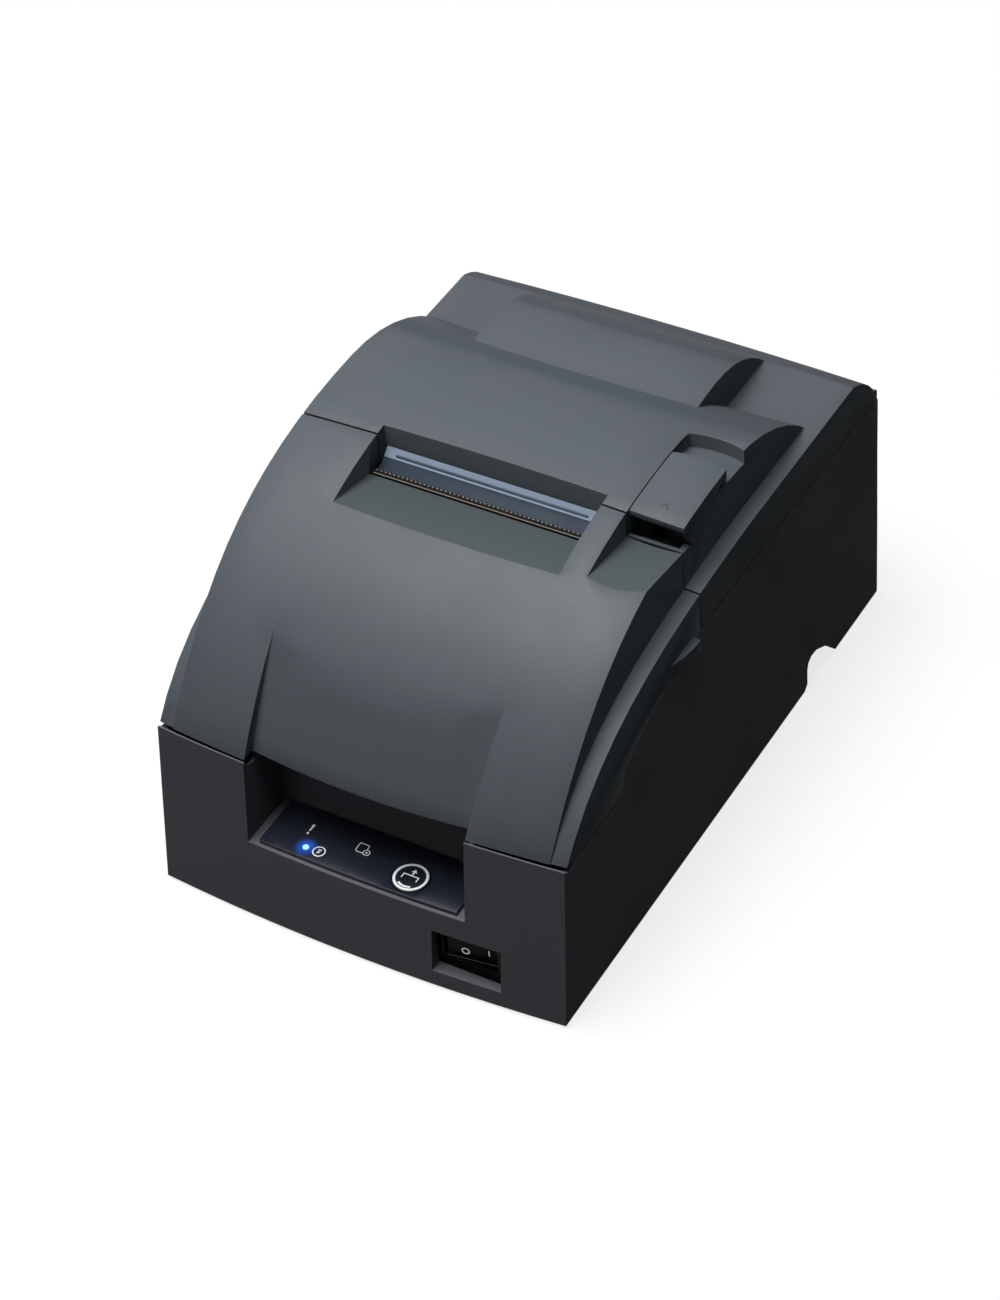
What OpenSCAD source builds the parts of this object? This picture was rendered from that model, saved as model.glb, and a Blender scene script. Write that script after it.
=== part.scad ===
// Impact dot matrix receipt printer: lower case, two hinged covers, drop-in roll bin,
// printing mechanism, cutter, ribbon cassette, control panel and boards.
// Origin: centre of the footprint on the table. +Z up, front at -Y, width along X.

/* [Case] */
// Overall width at the foot of the case
case_w = 160; // [150:1:176]
// Overall depth from the front face to the rear face
case_d = 248; // [242:1:262]
// Wall thickness of the moulded shells
wall = 2.2; // [1.8:0.1:2.6]
// Height of the rubber feet below the case
foot_h = 1.2; // [0.8:0.1:2.5]
// Diameter of each rubber foot
foot_d = 13; // [9:0.5:15]
// Height of the front seam between case and front cover
seam_z = 67.5; // [64:0.5:69]
// Height of the seam below the roll cover
roll_seam_z = 94; // [92.5:0.5:96]
// Gap between neighbouring shells
seam_gap = 0.8; // [0.5:0.1:1]
// How far the front face leans back up to the seam
front_lean = 7.6; // [3:0.2:9]
// How far each side leans in
side_draft = 0.8; // [0.2:0.1:1.4]
// Radius of the upright rear corners
rear_corner_r = 2.5; // [1.5:0.5:6]
// Radius of the sweep that bows the front and crowns the top
bow_r = 700; // [560:10:1200]

/* [Covers] */
// Half width of the raised hump
hump_half = 73.4; // [72.6:0.2:74]
// Height of the crest of the hump
crest_z = 138.3; // [134:0.2:141]
// Depth position of the crest
crest_y = 14.4; // [8:0.2:18]
// Height of the plateau and of the shoulders
plateau_z = 113.6; // [110:0.2:116]
// Line where the front cover meets the roll cover
split_y = -15; // [-16:0.2:-14]
// Half width of the bulge over the paper roll
bulge_half = 44.5; // [40:0.5:48]
// Height of the bulge over the paper roll
bulge_z = 131.8; // [129:0.2:134]
// Half width of the set back front panel at its foot
panel_half = 42.6; // [38:0.2:44]
// Setback of that panel behind the front seam line
panel_setback = 3.4; // [2:0.2:5]
// Half width of the paper exit
exit_half = 43.5; // [38:0.5:46]
// Front edge of the paper exit recess
exit_front_y = -46.5; // [-52:0.5:-40]
// Left edge of the lever pocket and of the finger scoop
pocket_x = 52.6; // [51:0.2:56]
// Depth of the lever pocket below the cover surface
pocket_deep = 5.6; // [5:0.1:6.4]
// Back wall of the lever pocket
pocket_back_y = 30; // [26:0.5:36]
// Rear end of the release lever
lever_back_y = 17.5; // [17:0.5:20]
// Swing of the front cover's finger tabs beyond the side
tab_proud = 3; // [1.5:0.1:3.6]

/* [Controls] */
// Height of the shelf that carries the control panel
shelf_z = 33.6; // [30:0.2:36]
// Depth of the control recess behind the front face
recess_deep = 28; // [26:0.5:29]
// Thickness of the control panel plate
panel_t = 1.6; // [1:0.1:2.2]
// Diameter of the paper feed button
button_d = 13.4; // [11:0.2:15]
// Position of the paper feed button
button_x = 17.2; // [12:0.2:22]
// Width of the power switch rocker
rocker_w = 20; // [16:0.5:21]
// Height of the power switch rocker
rocker_h = 10.6; // [8:0.2:11]
// Depth of the power switch recess behind the front face
switch_deep = 12.2; // [12:0.1:13.5]

/* [Mechanism] */
// Half distance between the outer faces of the frame plates
frame_half = 66; // [65:0.2:67]
// Thickness of the steel frame plates
plate_t = 1.5; // [1:0.1:2]
// Diameter of the carriage shaft
shaft_d = 8; // [6:0.5:9]
// Diameter of the print head body
head_d = 26; // [22:0.5:28]
// Half width of the carriage
carriage_half = 18; // [15:0.5:20]
// Pitch radius of the carriage belt pulleys
pulley_r = 6; // [5:0.2:7]
// Diameter of the rubber feed roller
feed_d = 10; // [8:0.2:11]
// Diameter of the pinch roller under the roll cover
pinch_d = 8; // [6:0.2:9]
// Width of the paper roll space
roll_w = 80; // [60:1:84]
// Inner radius of the drop-in roll bin
bin_r = 44; // [40:0.5:44.5]
// Teeth on the feed motor pinion
pinion_teeth = 13; // [11:2:15]
// Teeth on the idler gear
idler_teeth = 53; // [49:2:57]
// Teeth on the feed roller gear
roller_teeth = 30; // [28:2:32]

/* [Hidden] */

$fn = 48;
bow_fn = 540;
far = 200;
gap = 0.3;
run_gap = 0.05;

front_y = -case_d / 2;
rear_y = case_d / 2;
half_w = case_w / 2;
base_z = foot_h;
shelf_back_y = front_y + recess_deep;
switch_y = front_y + switch_deep;
button_y = front_y + 13.1;
lean_run = 67;
seam_y = front_y + front_lean * (seam_z - base_z) / lean_run;
bow_tilt = 21.8;
bow_sweep = 8.6;
back_bow_r = 2400;
back_bow_tilt = 125;

charcoal = [0.20, 0.21, 0.22];
dark = [0.10, 0.105, 0.12];
black = [0.04, 0.04, 0.045];
steel = [0.70, 0.72, 0.75];
blue_steel = [0.55, 0.62, 0.70];
brass = [0.75, 0.62, 0.35];
rubber = [0.07, 0.07, 0.07];
board_green = [0.05, 0.30, 0.16];
white_nylon = [0.88, 0.88, 0.84];

// ---------------------------------------------------------------- curves
function along_angle(a) = [cos(a), sin(a)];
function bezier(a, b, c, d, n) = [
    for (i = [0:n])
        let (t = i / n, s = 1 - t)
            s * s * s * a + 3 * s * s * t * b + 3 * s * t * t * c + t * t * t * d
];
function heading(p, i) =
    let (v = p[min(i + 1, len(p) - 1)] - p[max(i - 1, 0)]) v / norm(v);
function inset(p, w) = [
    for (i = [0:len(p) - 1])
        let (h = heading(p, i)) p[i] + w * [h[1], -h[0]]
];
function tail(p) = [for (i = [1:len(p) - 1]) p[i]];
function front_at(z) = front_y + front_lean * (z - base_z) / lean_run;

// Side profiles on the middle plane, as [y, z], from the front foot over the top
function hump_line() =
    let (
        foot = [front_at(-5), -5],
        start = [seam_y, seam_z],
        crest = [crest_y, crest_z],
        end = [crest_y + 61, plateau_z - 3.4]
    )
    concat(
        [foot],
        bezier(start, start + 61.6 * along_angle(58.5), crest - [61, 0], crest, 14),
        tail(bezier(crest, crest + [21.7, 0], end - 25 * along_angle(-47), end, 7))
    );
function shoulder_line() =
    let (
        foot = [front_at(-5) + 0.2, -5],
        start = [seam_y + 0.2, seam_z],
        level = [crest_y + 6, plateau_z]
    )
    concat(
        [foot],
        bezier(start, start + 46 * along_angle(56.5), level - 62 * along_angle(2), level, 11),
        [[rear_y + 20, plateau_z + 0.3]]
    );
function bulge_line() =
    let (start = [50, 129], end = [104, plateau_z - 3.1])
    bezier(start, start + [20, bulge_z - 129], end - 26 * along_angle(-48), end, 8);
function rear_line() =
    let (start = [rear_y - 24, plateau_z + 0.2], end = [rear_y - 2.1, roll_seam_z + 0.6])
    concat(
        [[20, plateau_z + 9]],
        bezier(start, start + 10 * along_angle(-8), end + [-1, 8.4], end, 7)
    );
function panel_line() =
    let (start = [seam_y + panel_setback, seam_z - 1], end = [seam_y + 30.5, 108.4])
    bezier(start, start + 15 * along_angle(62), end - 15 * along_angle(52), end, 5);
// Seam between the case and the covers along the side
function side_seam() = [
    [front_y - 20, seam_z], [front_y + 47, seam_z], [front_y + 51.4, seam_z + 1.2],
    [front_y + 54.5, seam_z + 7.6], [front_y + 59.6, seam_z + 11.4],
    [split_y - 22, roll_seam_z - 4.8], [split_y - 4.5, roll_seam_z - 3.4],
    [split_y, roll_seam_z], [roll_hinge[0], roll_seam_z - 1.6]
];

// ---------------------------------------------------------------- placing
// Extrudes a [y, z] profile along X
module across(x0, x1) {
    translate([x0, 0, 0]) rotate([90, 0, 90]) linear_extrude(x1 - x0) children();
}
// Extrudes an [x, z] profile along Y
module along(y0, y1) {
    translate([0, y1, 0]) rotate([90, 0, 0]) linear_extrude(y1 - y0) children();
}
// Extrudes an [x, y] profile along Z
module upright(z0, z1) {
    translate([0, 0, z0]) linear_extrude(z1 - z0) children();
}
module block(x, y, z) {
    translate([x[0], y[0], z[0]]) cube([x[1] - x[0], y[1] - y[0], z[1] - z[0]]);
}
module box2(a, b) {
    translate([a[0], b[0]]) square([a[1] - a[0], b[1] - b[0]]);
}
module rod_x(p, x0, x1, d) {
    translate([x0, p[0], p[1]]) rotate([0, 90, 0]) cylinder(h = x1 - x0, d = d);
}
module rod_y(p, y0, y1, d) {
    translate([p[0], y0, p[1]]) rotate([-90, 0, 0]) cylinder(h = y1 - y0, d = d);
}
module rod_z(p, z0, z1, d) {
    translate([p[0], p[1], z0]) cylinder(h = z1 - z0, d = d);
}
module both_sides() {
    children();
    mirror([1, 0, 0]) children();
}
// Sweeps a [y, z] profile round a far, tilted axis, which bows and crowns it
module bow(r = bow_r, tilt = bow_tilt) {
    rotate([-tilt, 0, 0]) rotate([0, 0, -90]) translate([-r, 0, 0])
        rotate_extrude(angle = 2 * bow_sweep, start = -bow_sweep, $fn = bow_fn)
            translate([r, 0]) rotate(-tilt) mirror([1, 0]) children();
}

// ---------------------------------------------------------------- outer form
module hump_side(w) {
    p = inset(hump_line(), w);
    polygon(concat(p, [[p[len(p) - 1][0], -5]]));
}
module shoulder_side(w) {
    polygon(concat(inset(shoulder_line(), w), [[rear_y + 20, -5]]));
}
module bulge_side(w) {
    p = inset(bulge_line(), w);
    polygon(concat(p, [[p[len(p) - 1][0], 100], [p[0][0], 100]]));
}
module rear_side(w) {
    p = inset(rear_line(), w);
    last = p[len(p) - 1];
    polygon(concat([[-far, p[0][1]]], p, [[last[0] + 0.4, -5], [-far, -5]]));
}
module side_walls(w) {
    low = half_w - w;
    high = low - side_draft;
    polygon([[-low, -5], [low, -5], [high, seam_z], [high, far], [-high, far], [-high, seam_z]]);
}
module plan(w) {
    difference() {
        box2([-half_w, half_w], [-far, rear_y - w]);
        for (s = [-1, 1])
            translate([s * (half_w - rear_corner_r), rear_y - rear_corner_r])
                difference() {
                    translate([s > 0 ? 0 : -rear_corner_r - 1, 0])
                        square(rear_corner_r + 1);
                    circle(r = max(rear_corner_r - w, 0.3));
                }
    }
}
module shoulder_plan(w) {
    difference() {
        box2([-far, far], [-far, far]);
        box2([-hump_half + w, hump_half - w], [-far - 1, 62]);
    }
}
module skin(w) {
    intersection() {
        bow() hump_side(w);
        across(-hump_half + w, hump_half - w) box2([-far, far], [0, far]);
    }
    intersection() {
        bow() shoulder_side(w);
        bow(back_bow_r, back_bow_tilt) rear_side(w);
        along(-far, far) side_walls(w);
        upright(0, far) shoulder_plan(w);
        upright(0, far) plan(w);
    }
    intersection() {
        bow() bulge_side(w);
        across(-bulge_half + w, bulge_half - w) box2([0, far], [0, far]);
    }
}
// What the set back front panel takes off the hump
module panel_cut(w) {
    intersection() {
        difference() {
            along(front_y - 20, -60)
                polygon([
                    [-panel_half - w, 60], [panel_half + w, 60],
                    [panel_half + w + 2.1, 112], [-panel_half - w - 2.1, 112]
                ]);
            bow(250, bow_tilt) {
                p = inset(panel_line(), w);
                polygon(concat(
                    [p[0] - 12 * along_angle(62)], p, [p[5] + 30 * along_angle(52)],
                    [[0, 150], [0, 50]]
                ));
            }
        }
        block([-far, far], [front_y - 20, -60], [60, 112]);
    }
}

// ---------------------------------------------------------------- hinges
front_hinge = [front_y + 14.8, seam_z + 3.2];
front_pin_d = 2;
front_lug_r = 2.1;
front_lug_x = [46.4, 48.6];
front_ear_x = [48.9, 51.4];
roll_hinge = [rear_y - 3.5, roll_seam_z + 0.6];
roll_pin_d = 2.4;
roll_knuckle_r = 3;
roll_lug_x = [62, 66];
lever_hinge = [13, crest_z - 5.5];
lever_pin_d = 1.8;
hook_hinge = [3, 121.5];
hook_pin_d = 3;
hook_x = [58, 61];

// ---------------------------------------------------------------- lower case
floor_z = base_z + wall + 0.2;
bay_y = 60;
bay_top = 28;
frame_seat_z = 24;
frame_posts = [[-57, -78], [57, -78], [-57, -20], [57, -20]];
board_posts = [[-46, -62], [46, -62], [-46, 46], [46, 46]];
foot_places = [[-66, -106], [66, -106], [-66, 111], [66, 111]];
notch_y = [61, 86.4];
notch_z = 14;
switch_x = [30, 56];
switch_z = [7.4, 25];
switch_hole_x = [31.5, 54.9];
switch_hole_z = [9, 24.4];
recess_half = panel_half + 0.2;

module case_block(w) {
    intersection() {
        bow() polygon([
            [front_at(-5) + w, -5], [front_at(far) + w, far],
            [far, far], [far, -5]
        ]);
        along(-far, far) side_walls(w);
        upright(-5, far) plan(w);
    }
}
module lower_case() {
    color(dark) difference() {
        union() {
            difference() {
                intersection() {
                    case_block(0);
                    across(-far, far) polygon(concat(
                        [[front_y - 20, base_z]], side_seam(),
                        [[far, roll_seam_z - 1.6], [far, base_z]]
                    ));
                }
                intersection() {
                    case_block(wall);
                    block([-far, far], [-far, far], [floor_z, far]);
                }
                hinge_relief();
            }
            intersection() {
                case_block(0.5);
                union() {
                    control_recess();
                    connector_bay();
                    switch_pocket();
                }
            }
            hinge_columns();
            roll_lugs();
            for (p = frame_posts) rod_z(p, floor_z - 1, frame_seat_z, 9);
            for (p = board_posts) rod_z(p, floor_z - 1, floor_z + 4.4, 6);
        }
        // window of the control recess, seat of the panel and the button's hole
        block([-recess_half, recess_half], [front_y - 20, shelf_back_y], [shelf_z, far]);
        rod_z([button_x, button_y], shelf_z - 5, shelf_z + 5, button_d + 1);
        for (p = lens_places) rod_z(p, shelf_z - 5, shelf_z + 5, 3);
        // power switch
        block(switch_x, [front_y - 20, switch_y], switch_z);
        block(switch_hole_x, [switch_y - 1, switch_y + 16], switch_hole_z);
        // connector bay and its ways out
        block([-72, 72], [bay_y, 100], [-1, bay_top]);
        block([-55, 55], [99, rear_y + 20], [-1, bay_top]);
        block([-42, 42], [bay_y - 5, bay_y + 1], [7.5, 25]);
        across(-far, far) cable_notch();
        // seats of the feet
        for (p = foot_places) rod_z(p, -1, base_z + 0.8, foot_d + 0.2);
        roll_relief();
        // bores of the hinge pins
        both_sides() rod_x(front_hinge, front_lug_x[0] - 1, front_lug_x[1] + 1,
            front_pin_d + 2 * run_gap);
        both_sides() rod_x(roll_hinge, roll_lug_x[0] - 1, roll_lug_x[1] + 1,
            roll_pin_d + 2 * run_gap);
    }
}
module control_recess() {
    difference() {
        block([-recess_half - wall, recess_half + wall],
            [front_y, shelf_back_y + wall], [shelf_z - 2, seam_z - 0.6]);
        block([-recess_half, recess_half], [front_y - 20, shelf_back_y], [shelf_z, far]);
        hinge_relief();
    }
}
module connector_bay() {
    difference() {
        block([-far, far], [bay_y - wall, rear_y], [base_z, bay_top + wall]);
        block([-72, 72], [bay_y, 100], [-1, bay_top]);
        block([-55, 55], [99, rear_y + 20], [-1, bay_top]);
        both_sides() block([74, far], [bay_y - 20, far], [bay_top - 3, far]);
    }
}
module switch_pocket() {
    difference() {
        block([switch_x[0] - 2, switch_x[1] + 2], [front_y, switch_y + 2],
            [floor_z - 1, switch_z[1] + 1.8]);
        block(switch_hole_x, [switch_y - 1, switch_y + 16], switch_hole_z);
    }
}
module cable_notch() {
    polygon([
        [notch_y[0], -1], [notch_y[0], base_z], [notch_y[0] + 2.2, base_z + 2],
        [notch_y[0] + 2.4, 10], [notch_y[0] + 3.4, 12.6], [notch_y[0] + 6, notch_z],
        [notch_y[0] + 10, notch_z - 0.4], [80, 8.7], [notch_y[1], base_z], [notch_y[1], -1]
    ]);
}
// Room for the front cover's lower edge as it turns
module hinge_relief() {
    intersection() {
        both_sides() translate([recess_half - 0.4, front_hinge[0], front_hinge[1]])
            rotate([0, 90, 0]) cylinder(h = half_w - recess_half + 3, r1 = 6.9, r2 = 4.6);
        bow() polygon([
            [front_at(-5) + 0.6, -5], [front_at(far) + 0.6, far], [far, far], [far, -5]
        ]);
    }
}
module hinge_columns() {
    web_y = front_hinge[0] + 7.6;
    both_sides() {
        across(front_lug_x[0], front_lug_x[1]) {
            translate(front_hinge) circle(r = front_lug_r);
            translate(front_hinge - [0, front_lug_r]) square([web_y + 1 - front_hinge[0], 2 * front_lug_r]);
        }
        block([recess_half + wall - 0.5, front_lug_x[1]], [web_y, shelf_back_y + wall],
            [shelf_z - 2, front_hinge[1] + front_lug_r]);
    }
}
module roll_lugs() {
    both_sides() across(roll_lug_x[0], roll_lug_x[1]) {
        translate(roll_hinge) circle(r = roll_knuckle_r);
        polygon([
            roll_hinge + [roll_knuckle_r, 0], [rear_y - 0.5, roll_hinge[1] - 6],
            [rear_y - 0.5, 80], [rear_y - wall, 80], roll_hinge + [-roll_knuckle_r, -1]
        ]);
    }
}
// Room in the rear wall for the roll cover's knuckle
module roll_relief() {
    intersection() {
        union() {
            rod_x(roll_hinge, -roll_lug_x[0], roll_lug_x[0], 2 * roll_knuckle_r + 2);
            both_sides() rod_x(roll_hinge, roll_lug_x[1], far, 2 * roll_knuckle_r + 2);
        }
        block([-far, far], [rear_y - 12, far], [80, far]);
    }
}
module rubber_feet() {
    color(rubber) for (p = foot_places) {
        rod_z(p, 0, base_z + 0.8, foot_d);
    }
}

// ---------------------------------------------------------------- front cover
exit_back_y = -22.4;
exit_floor = [[exit_front_y - 1, crest_z - 9], [exit_back_y, crest_z - 14.5]];
scoop_y = -41.5;
scoop_floor = [[scoop_y - 1, crest_z - 8.9], [split_y, crest_z - 12.6]];
scoop_x = 63;
scoop_r = 58;
scoop_sag = 0.9;
module above_line(line, down) {
    polygon([
        line[0] - [0, down], line[1] - [0, down], [line[1][0] + 12, line[1][1] - down],
        [line[1][0] + 12, far], [line[0][0], far]
    ]);
}
// Lengthwise hollow in the floor of the finger scoop
module scoop_bowl() {
    way = scoop_floor[1] - scoop_floor[0];
    intersection() {
        translate([scoop_x, scoop_floor[0][0], scoop_floor[0][1]])
            rotate([atan2(way[1], way[0]), 0, 0])
                rod_y([0, scoop_r - scoop_sag], -8, norm(way) + 4, 2 * scoop_r, $fn = 360);
        block([pocket_x, half_w], [scoop_y - 10, split_y + 1], [100, far]);
    }
}
module front_cover() {
    color(charcoal) difference() {
        union() {
            difference() {
                intersection() {
                    skin(0);
                    across(-far, far) polygon(concat(
                        [for (p = side_seam()) if (p[0] <= split_y)
                            [min(p[0], split_y - seam_gap / 2), p[1] + seam_gap]],
                        [[split_y - seam_gap / 2, far], [front_y - 20, far]]
                    ));
                }
                panel_cut(0);
                difference() {
                    skin(wall);
                    panel_cut(wall);
                    // floors and walls under the exit and the finger scoop
                    across(-exit_half - wall, exit_half + wall) intersection() {
                        above_line(exit_floor, wall);
                        box2([exit_front_y - 4, split_y], [0, far]);
                    }
                    across(pocket_x - wall, hump_half) intersection() {
                        above_line(scoop_floor, wall);
                        box2([scoop_y - 4, split_y], [0, far]);
                    }
                }
            }
            front_ears();
            both_sides() finger_tab();
        }
        across(-exit_half, exit_half) above_line(exit_floor, 0);
        across(-exit_half, exit_half) box2([exit_back_y, 0], [80, far]);
        across(pocket_x, half_w) above_line(scoop_floor, 0);
        scoop_bowl();
        // chamfer that lets the lower edge turn
        bow() polygon([
            [front_y - 10, seam_z - 2], [seam_y + 0.9, seam_z + 0.4],
            [seam_y + 0.9, seam_z + seam_gap], [seam_y + 0.3, seam_z + seam_gap + 0.9],
            [front_y - 10, seam_z + seam_gap + 1]
        ]);
        // room for the case's hinge lugs, and the pins' holes
        both_sides() rod_x(front_hinge, front_lug_x[0] - gap, front_lug_x[1] + gap,
            2 * front_lug_r + 0.7);
        both_sides() rod_x(front_hinge, front_lug_x[0], front_ear_x[1] + 1, front_pin_d);
    }
}
module front_ears() {
    both_sides() intersection() {
        across(front_ear_x[0], front_ear_x[1]) {
            translate(front_hinge) circle(r = front_lug_r);
            polygon([
                front_hinge + [-front_lug_r, 0], front_hinge + [front_lug_r, 0],
                front_hinge + [9, 13], front_hinge + [4, 20], front_hinge + [-6, 8]
            ]);
        }
        skin(1);
    }
}
module finger_tab() {
    tab_r = 40;
    intersection() {
        rod_z([half_w - side_draft + tab_proud - tab_r, -22], roll_seam_z - 2.9,
            roll_seam_z + 1.4, 2 * tab_r, $fn = 180);
        block([half_w - 2.5, half_w + 5], [-40, -21], [80, 120]);
    }
}
module front_hinge_pins() {
    color(steel) both_sides()
        rod_x(front_hinge, front_lug_x[0] + 0.2, front_ear_x[1], front_pin_d);
}

// ---------------------------------------------------------------- roll cover
notch_back_y = -10.5;
flange_x = 71.2;
lever_front_y = -13.5;
arch_r = 27;
sill_z = crest_z - 13;
sill_y = split_y + 1.9;
hollow_back_y = -5.6;
hollow_z = crest_z - 19.6;
flange_line = [
    [lever_back_y, crest_z - 5.1], [2.4, crest_z - 7.6], [-6.2, crest_z - 12.2],
    [-8.5, crest_z - 14.4], [-11.6, crest_z - 6.3], [lever_front_y + 0.1, crest_z - 2]
];
boss_y = [-4, 8];
boss_x = [43, 49.4];
boss_z = 127;
module roll_cover() {
    color(charcoal) difference() {
        union() {
            difference() {
                intersection() {
                    skin(0);
                    across(-far, far) roll_region();
                }
                difference() {
                    skin(wall);
                    pocket_block();
                    across(-exit_half - wall, exit_half + wall)
                        box2([split_y, notch_back_y + wall], [118, far]);
                    both_sides() block(boss_x, boss_y, [boss_z, far]);
                    across(-half_w, half_w) translate(roll_hinge) circle(r = roll_knuckle_r);
                }
            }
            intersection() {
                rod_x(roll_hinge, -half_w, half_w, 2 * roll_knuckle_r);
                along(-far, far) side_walls(0.3);
                upright(0, far) plan(0.3);
            }
            lever_lugs();
            hook_lugs();
        }
        across(-exit_half, exit_half) box2([split_y - 2, notch_back_y], [80, far]);
        pocket_cut();
        // slot for the lever's arm to the hook
        block([57, 62], [-6, 2], [120, 140]);
        // room for the case's lugs, and the pins' holes
        both_sides() rod_x(roll_hinge, roll_lug_x[0] - gap, roll_lug_x[1] + gap,
            2 * roll_knuckle_r + 1);
        both_sides() block([roll_lug_x[0] - gap, roll_lug_x[1] + gap],
            [roll_hinge[0] - 1, far], [roll_hinge[1] - 5, roll_hinge[1] + 3.6]);
        both_sides() rod_x(roll_hinge, roll_lug_x[0] - 4, roll_lug_x[1] + 4, roll_pin_d);
        rod_x(lever_hinge, 50, half_w, lever_pin_d);
        rod_x(hook_hinge, hook_x[0] - 4, hook_x[1] + 4, hook_pin_d);
    }
}
module roll_region() {
    y0 = split_y + seam_gap / 2;
    difference() {
        polygon([
            [y0, roll_seam_z + seam_gap], [roll_hinge[0], roll_seam_z - 1.6 + seam_gap],
            [roll_hinge[0], roll_hinge[1]], [far, roll_hinge[1]], [far, far], [y0, far]
        ]);
        // the rear face stands a little inside the case's rear face
        polygon([[rear_y - 0.5, 80], [far, 80], [far, 104], [rear_y - 1, 104]]);
    }
}
module pocket_block() {
    difference() {
        block([pocket_x - wall, hump_half], [split_y, pocket_back_y + 2 * wall], [100, far]);
        bow() hump_side(pocket_deep + wall);
    }
    block([pocket_x - wall, hump_half], [split_y, hollow_back_y + wall],
        [hollow_z - wall, crest_z - 5]);
}
module pocket_cut() {
    difference() {
        upright(100, far) arched_strip([pocket_x, hump_half + 0.1], [split_y - 2, pocket_back_y]);
        bow() hump_side(pocket_deep);
        lever_lugs();
        block([hump_half, far], [-far, far], [0, plateau_z + 1]);
    }
    // finger hollow under the lever's front edge, behind a sill
    block([pocket_x, half_w], [split_y - 2, hollow_back_y], [sill_z, crest_z]);
    block([pocket_x, hump_half - wall], [sill_y, hollow_back_y], [hollow_z, crest_z]);
    rod_x(lever_hinge, 57, 67, 4.2);
    // the lever's side flange hangs in this opening of the right wall
    across(flange_x - gap, half_w) offset_line();
}
module offset_line() {
    polygon(concat(
        [for (p = flange_line) p + [p[0] < -8 ? -0.9 : 0.3, -0.7]],
        [[split_y - 2, 140], [lever_back_y + 0.4, 140]]
    ));
}
module lever_lugs() {
    for (x = [55, 67]) across(x, x + 2) {
        translate(lever_hinge) circle(r = 1.7);
        translate(lever_hinge + [-1.7, -4]) square([3.4, 4]);
    }
}
module hook_lugs() {
    for (x = [hook_x[0] - 2.4, hook_x[1] + 0.4]) across(x, x + 2) {
        translate(hook_hinge) circle(r = 2.6);
        translate(hook_hinge + [-2.6, 0]) square([5.2, 9]);
    }
}
module roll_hinge_pins() {
    color(steel) both_sides()
        rod_x(roll_hinge, roll_lug_x[0] - 4, roll_lug_x[1] + 4, roll_pin_d);
}

// ---------------------------------------------------------------- lever and latch
// Plan of the pocket and of the lever: a strip with an arched rear edge
module arched_strip(x, y) {
    half = (x[1] - x[0]) / 2;
    intersection() {
        box2(x, [y[0], y[1] + half]);
        translate([x[0] + half, y[1] - sqrt(arch_r * arch_r - half * half)])
            circle(r = arch_r, $fn = 180);
    }
}
module release_lever() {
    lever_x = [pocket_x + 0.4, hump_half - 0.1];
    color(charcoal) difference() {
        union() {
            intersection() {
                difference() {
                    bow() hump_side(0);
                    bow() hump_side(wall);
                }
                upright(100, far) arched_strip(lever_x, [lever_front_y, lever_back_y]);
            }
            intersection() {
                bow() hump_side(0.4);
                across(flange_x, hump_half - 0.1) polygon(concat(
                    flange_line, [[-13.4, far], [lever_back_y, far]]
                ));
            }
            // barrel between the lugs
            across(57.3, 66.7) {
                translate(lever_hinge) circle(r = 1.7);
                translate(lever_hinge + [-1.7, 0]) square([3.4, 3.4]);
            }
            // arm that reaches down to the hook
            block([58.4, 60.6], [-3.4, -0.4], [hook_hinge[1] + 0.6, crest_z - 2.6]);
        }
        rod_x(lever_hinge, 50, half_w, lever_pin_d + 2 * run_gap);
        // the front edge runs out thin
        across(50, flange_x) polygon([
            [lever_front_y - 1, 100], [lever_front_y - 1, crest_z - 6.2],
            [lever_front_y, crest_z - 6.2], [lever_front_y + 3.6, crest_z - 7.8],
            [lever_front_y + 3.6, 100]
        ]);
    }
}
module lever_pin() {
    color(steel) rod_x(lever_hinge, 55, 69, lever_pin_d);
}
module latch_hook() {
    color(steel) {
            across(hook_x[0], hook_x[1]) {
                translate(hook_hinge) circle(r = 3);
                polygon([
                    hook_hinge + [-3, 0], hook_hinge + [3, 0], hook_hinge + [0, -14],
                    hook_hinge + [-7.4, -15.5], hook_hinge + [-8.6, -13.4],
                    hook_hinge + [-3.4, -12.9], hook_hinge + [-3, -8]
                ]);
            }
            rod_x(hook_hinge, hook_x[0] - 2.4, hook_x[1] + 2.4, hook_pin_d - 2 * run_gap);
    }
}
stud_place = hook_hinge + [-10.5, -11.1];
module latch_stud() {
    color(steel) rod_x(stud_place, 57.5, frame_half - plate_t, 3);
}

// ---------------------------------------------------------------- controls
lens_places = [[-22.6, front_y + 10], [-25.5, front_y + 18], [-4.3, front_y + 17.8]];
panel_top = shelf_z + panel_t;
film_t = 0.3;
board_z = 27;
module control_panel() {
    color(black) difference() {
        intersection() {
            case_block(1.4);
            block([-39, 39], [front_y, shelf_back_y - 1], [shelf_z, panel_top]);
        }
        rod_z([button_x, button_y], 0, 100, button_d + 0.6);
        // the first lens stands through, the others shine through the film
        rod_z(lens_places[0], 0, 100, 2.4);
        for (p = lens_places) rod_z(p, 0, panel_top - film_t, 2.4);
    }
}
module status_lenses() {
    color([0.2, 0.5, 1]) {
        rod_z(lens_places[0], board_z + 1.6, panel_top + 0.1, 2.2);
        for (i = [1, 2]) rod_z(lens_places[i], board_z + 1.6, panel_top - film_t - 0.05, 2.2);
    }
}
module feed_button() {
    color(black) {
        rod_z([button_x, button_y], shelf_z - 1.2, panel_top + 0.5, button_d);
        rod_z([button_x, button_y], board_z + 2.8, shelf_z - 1.2, 4);
    }
}
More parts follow.
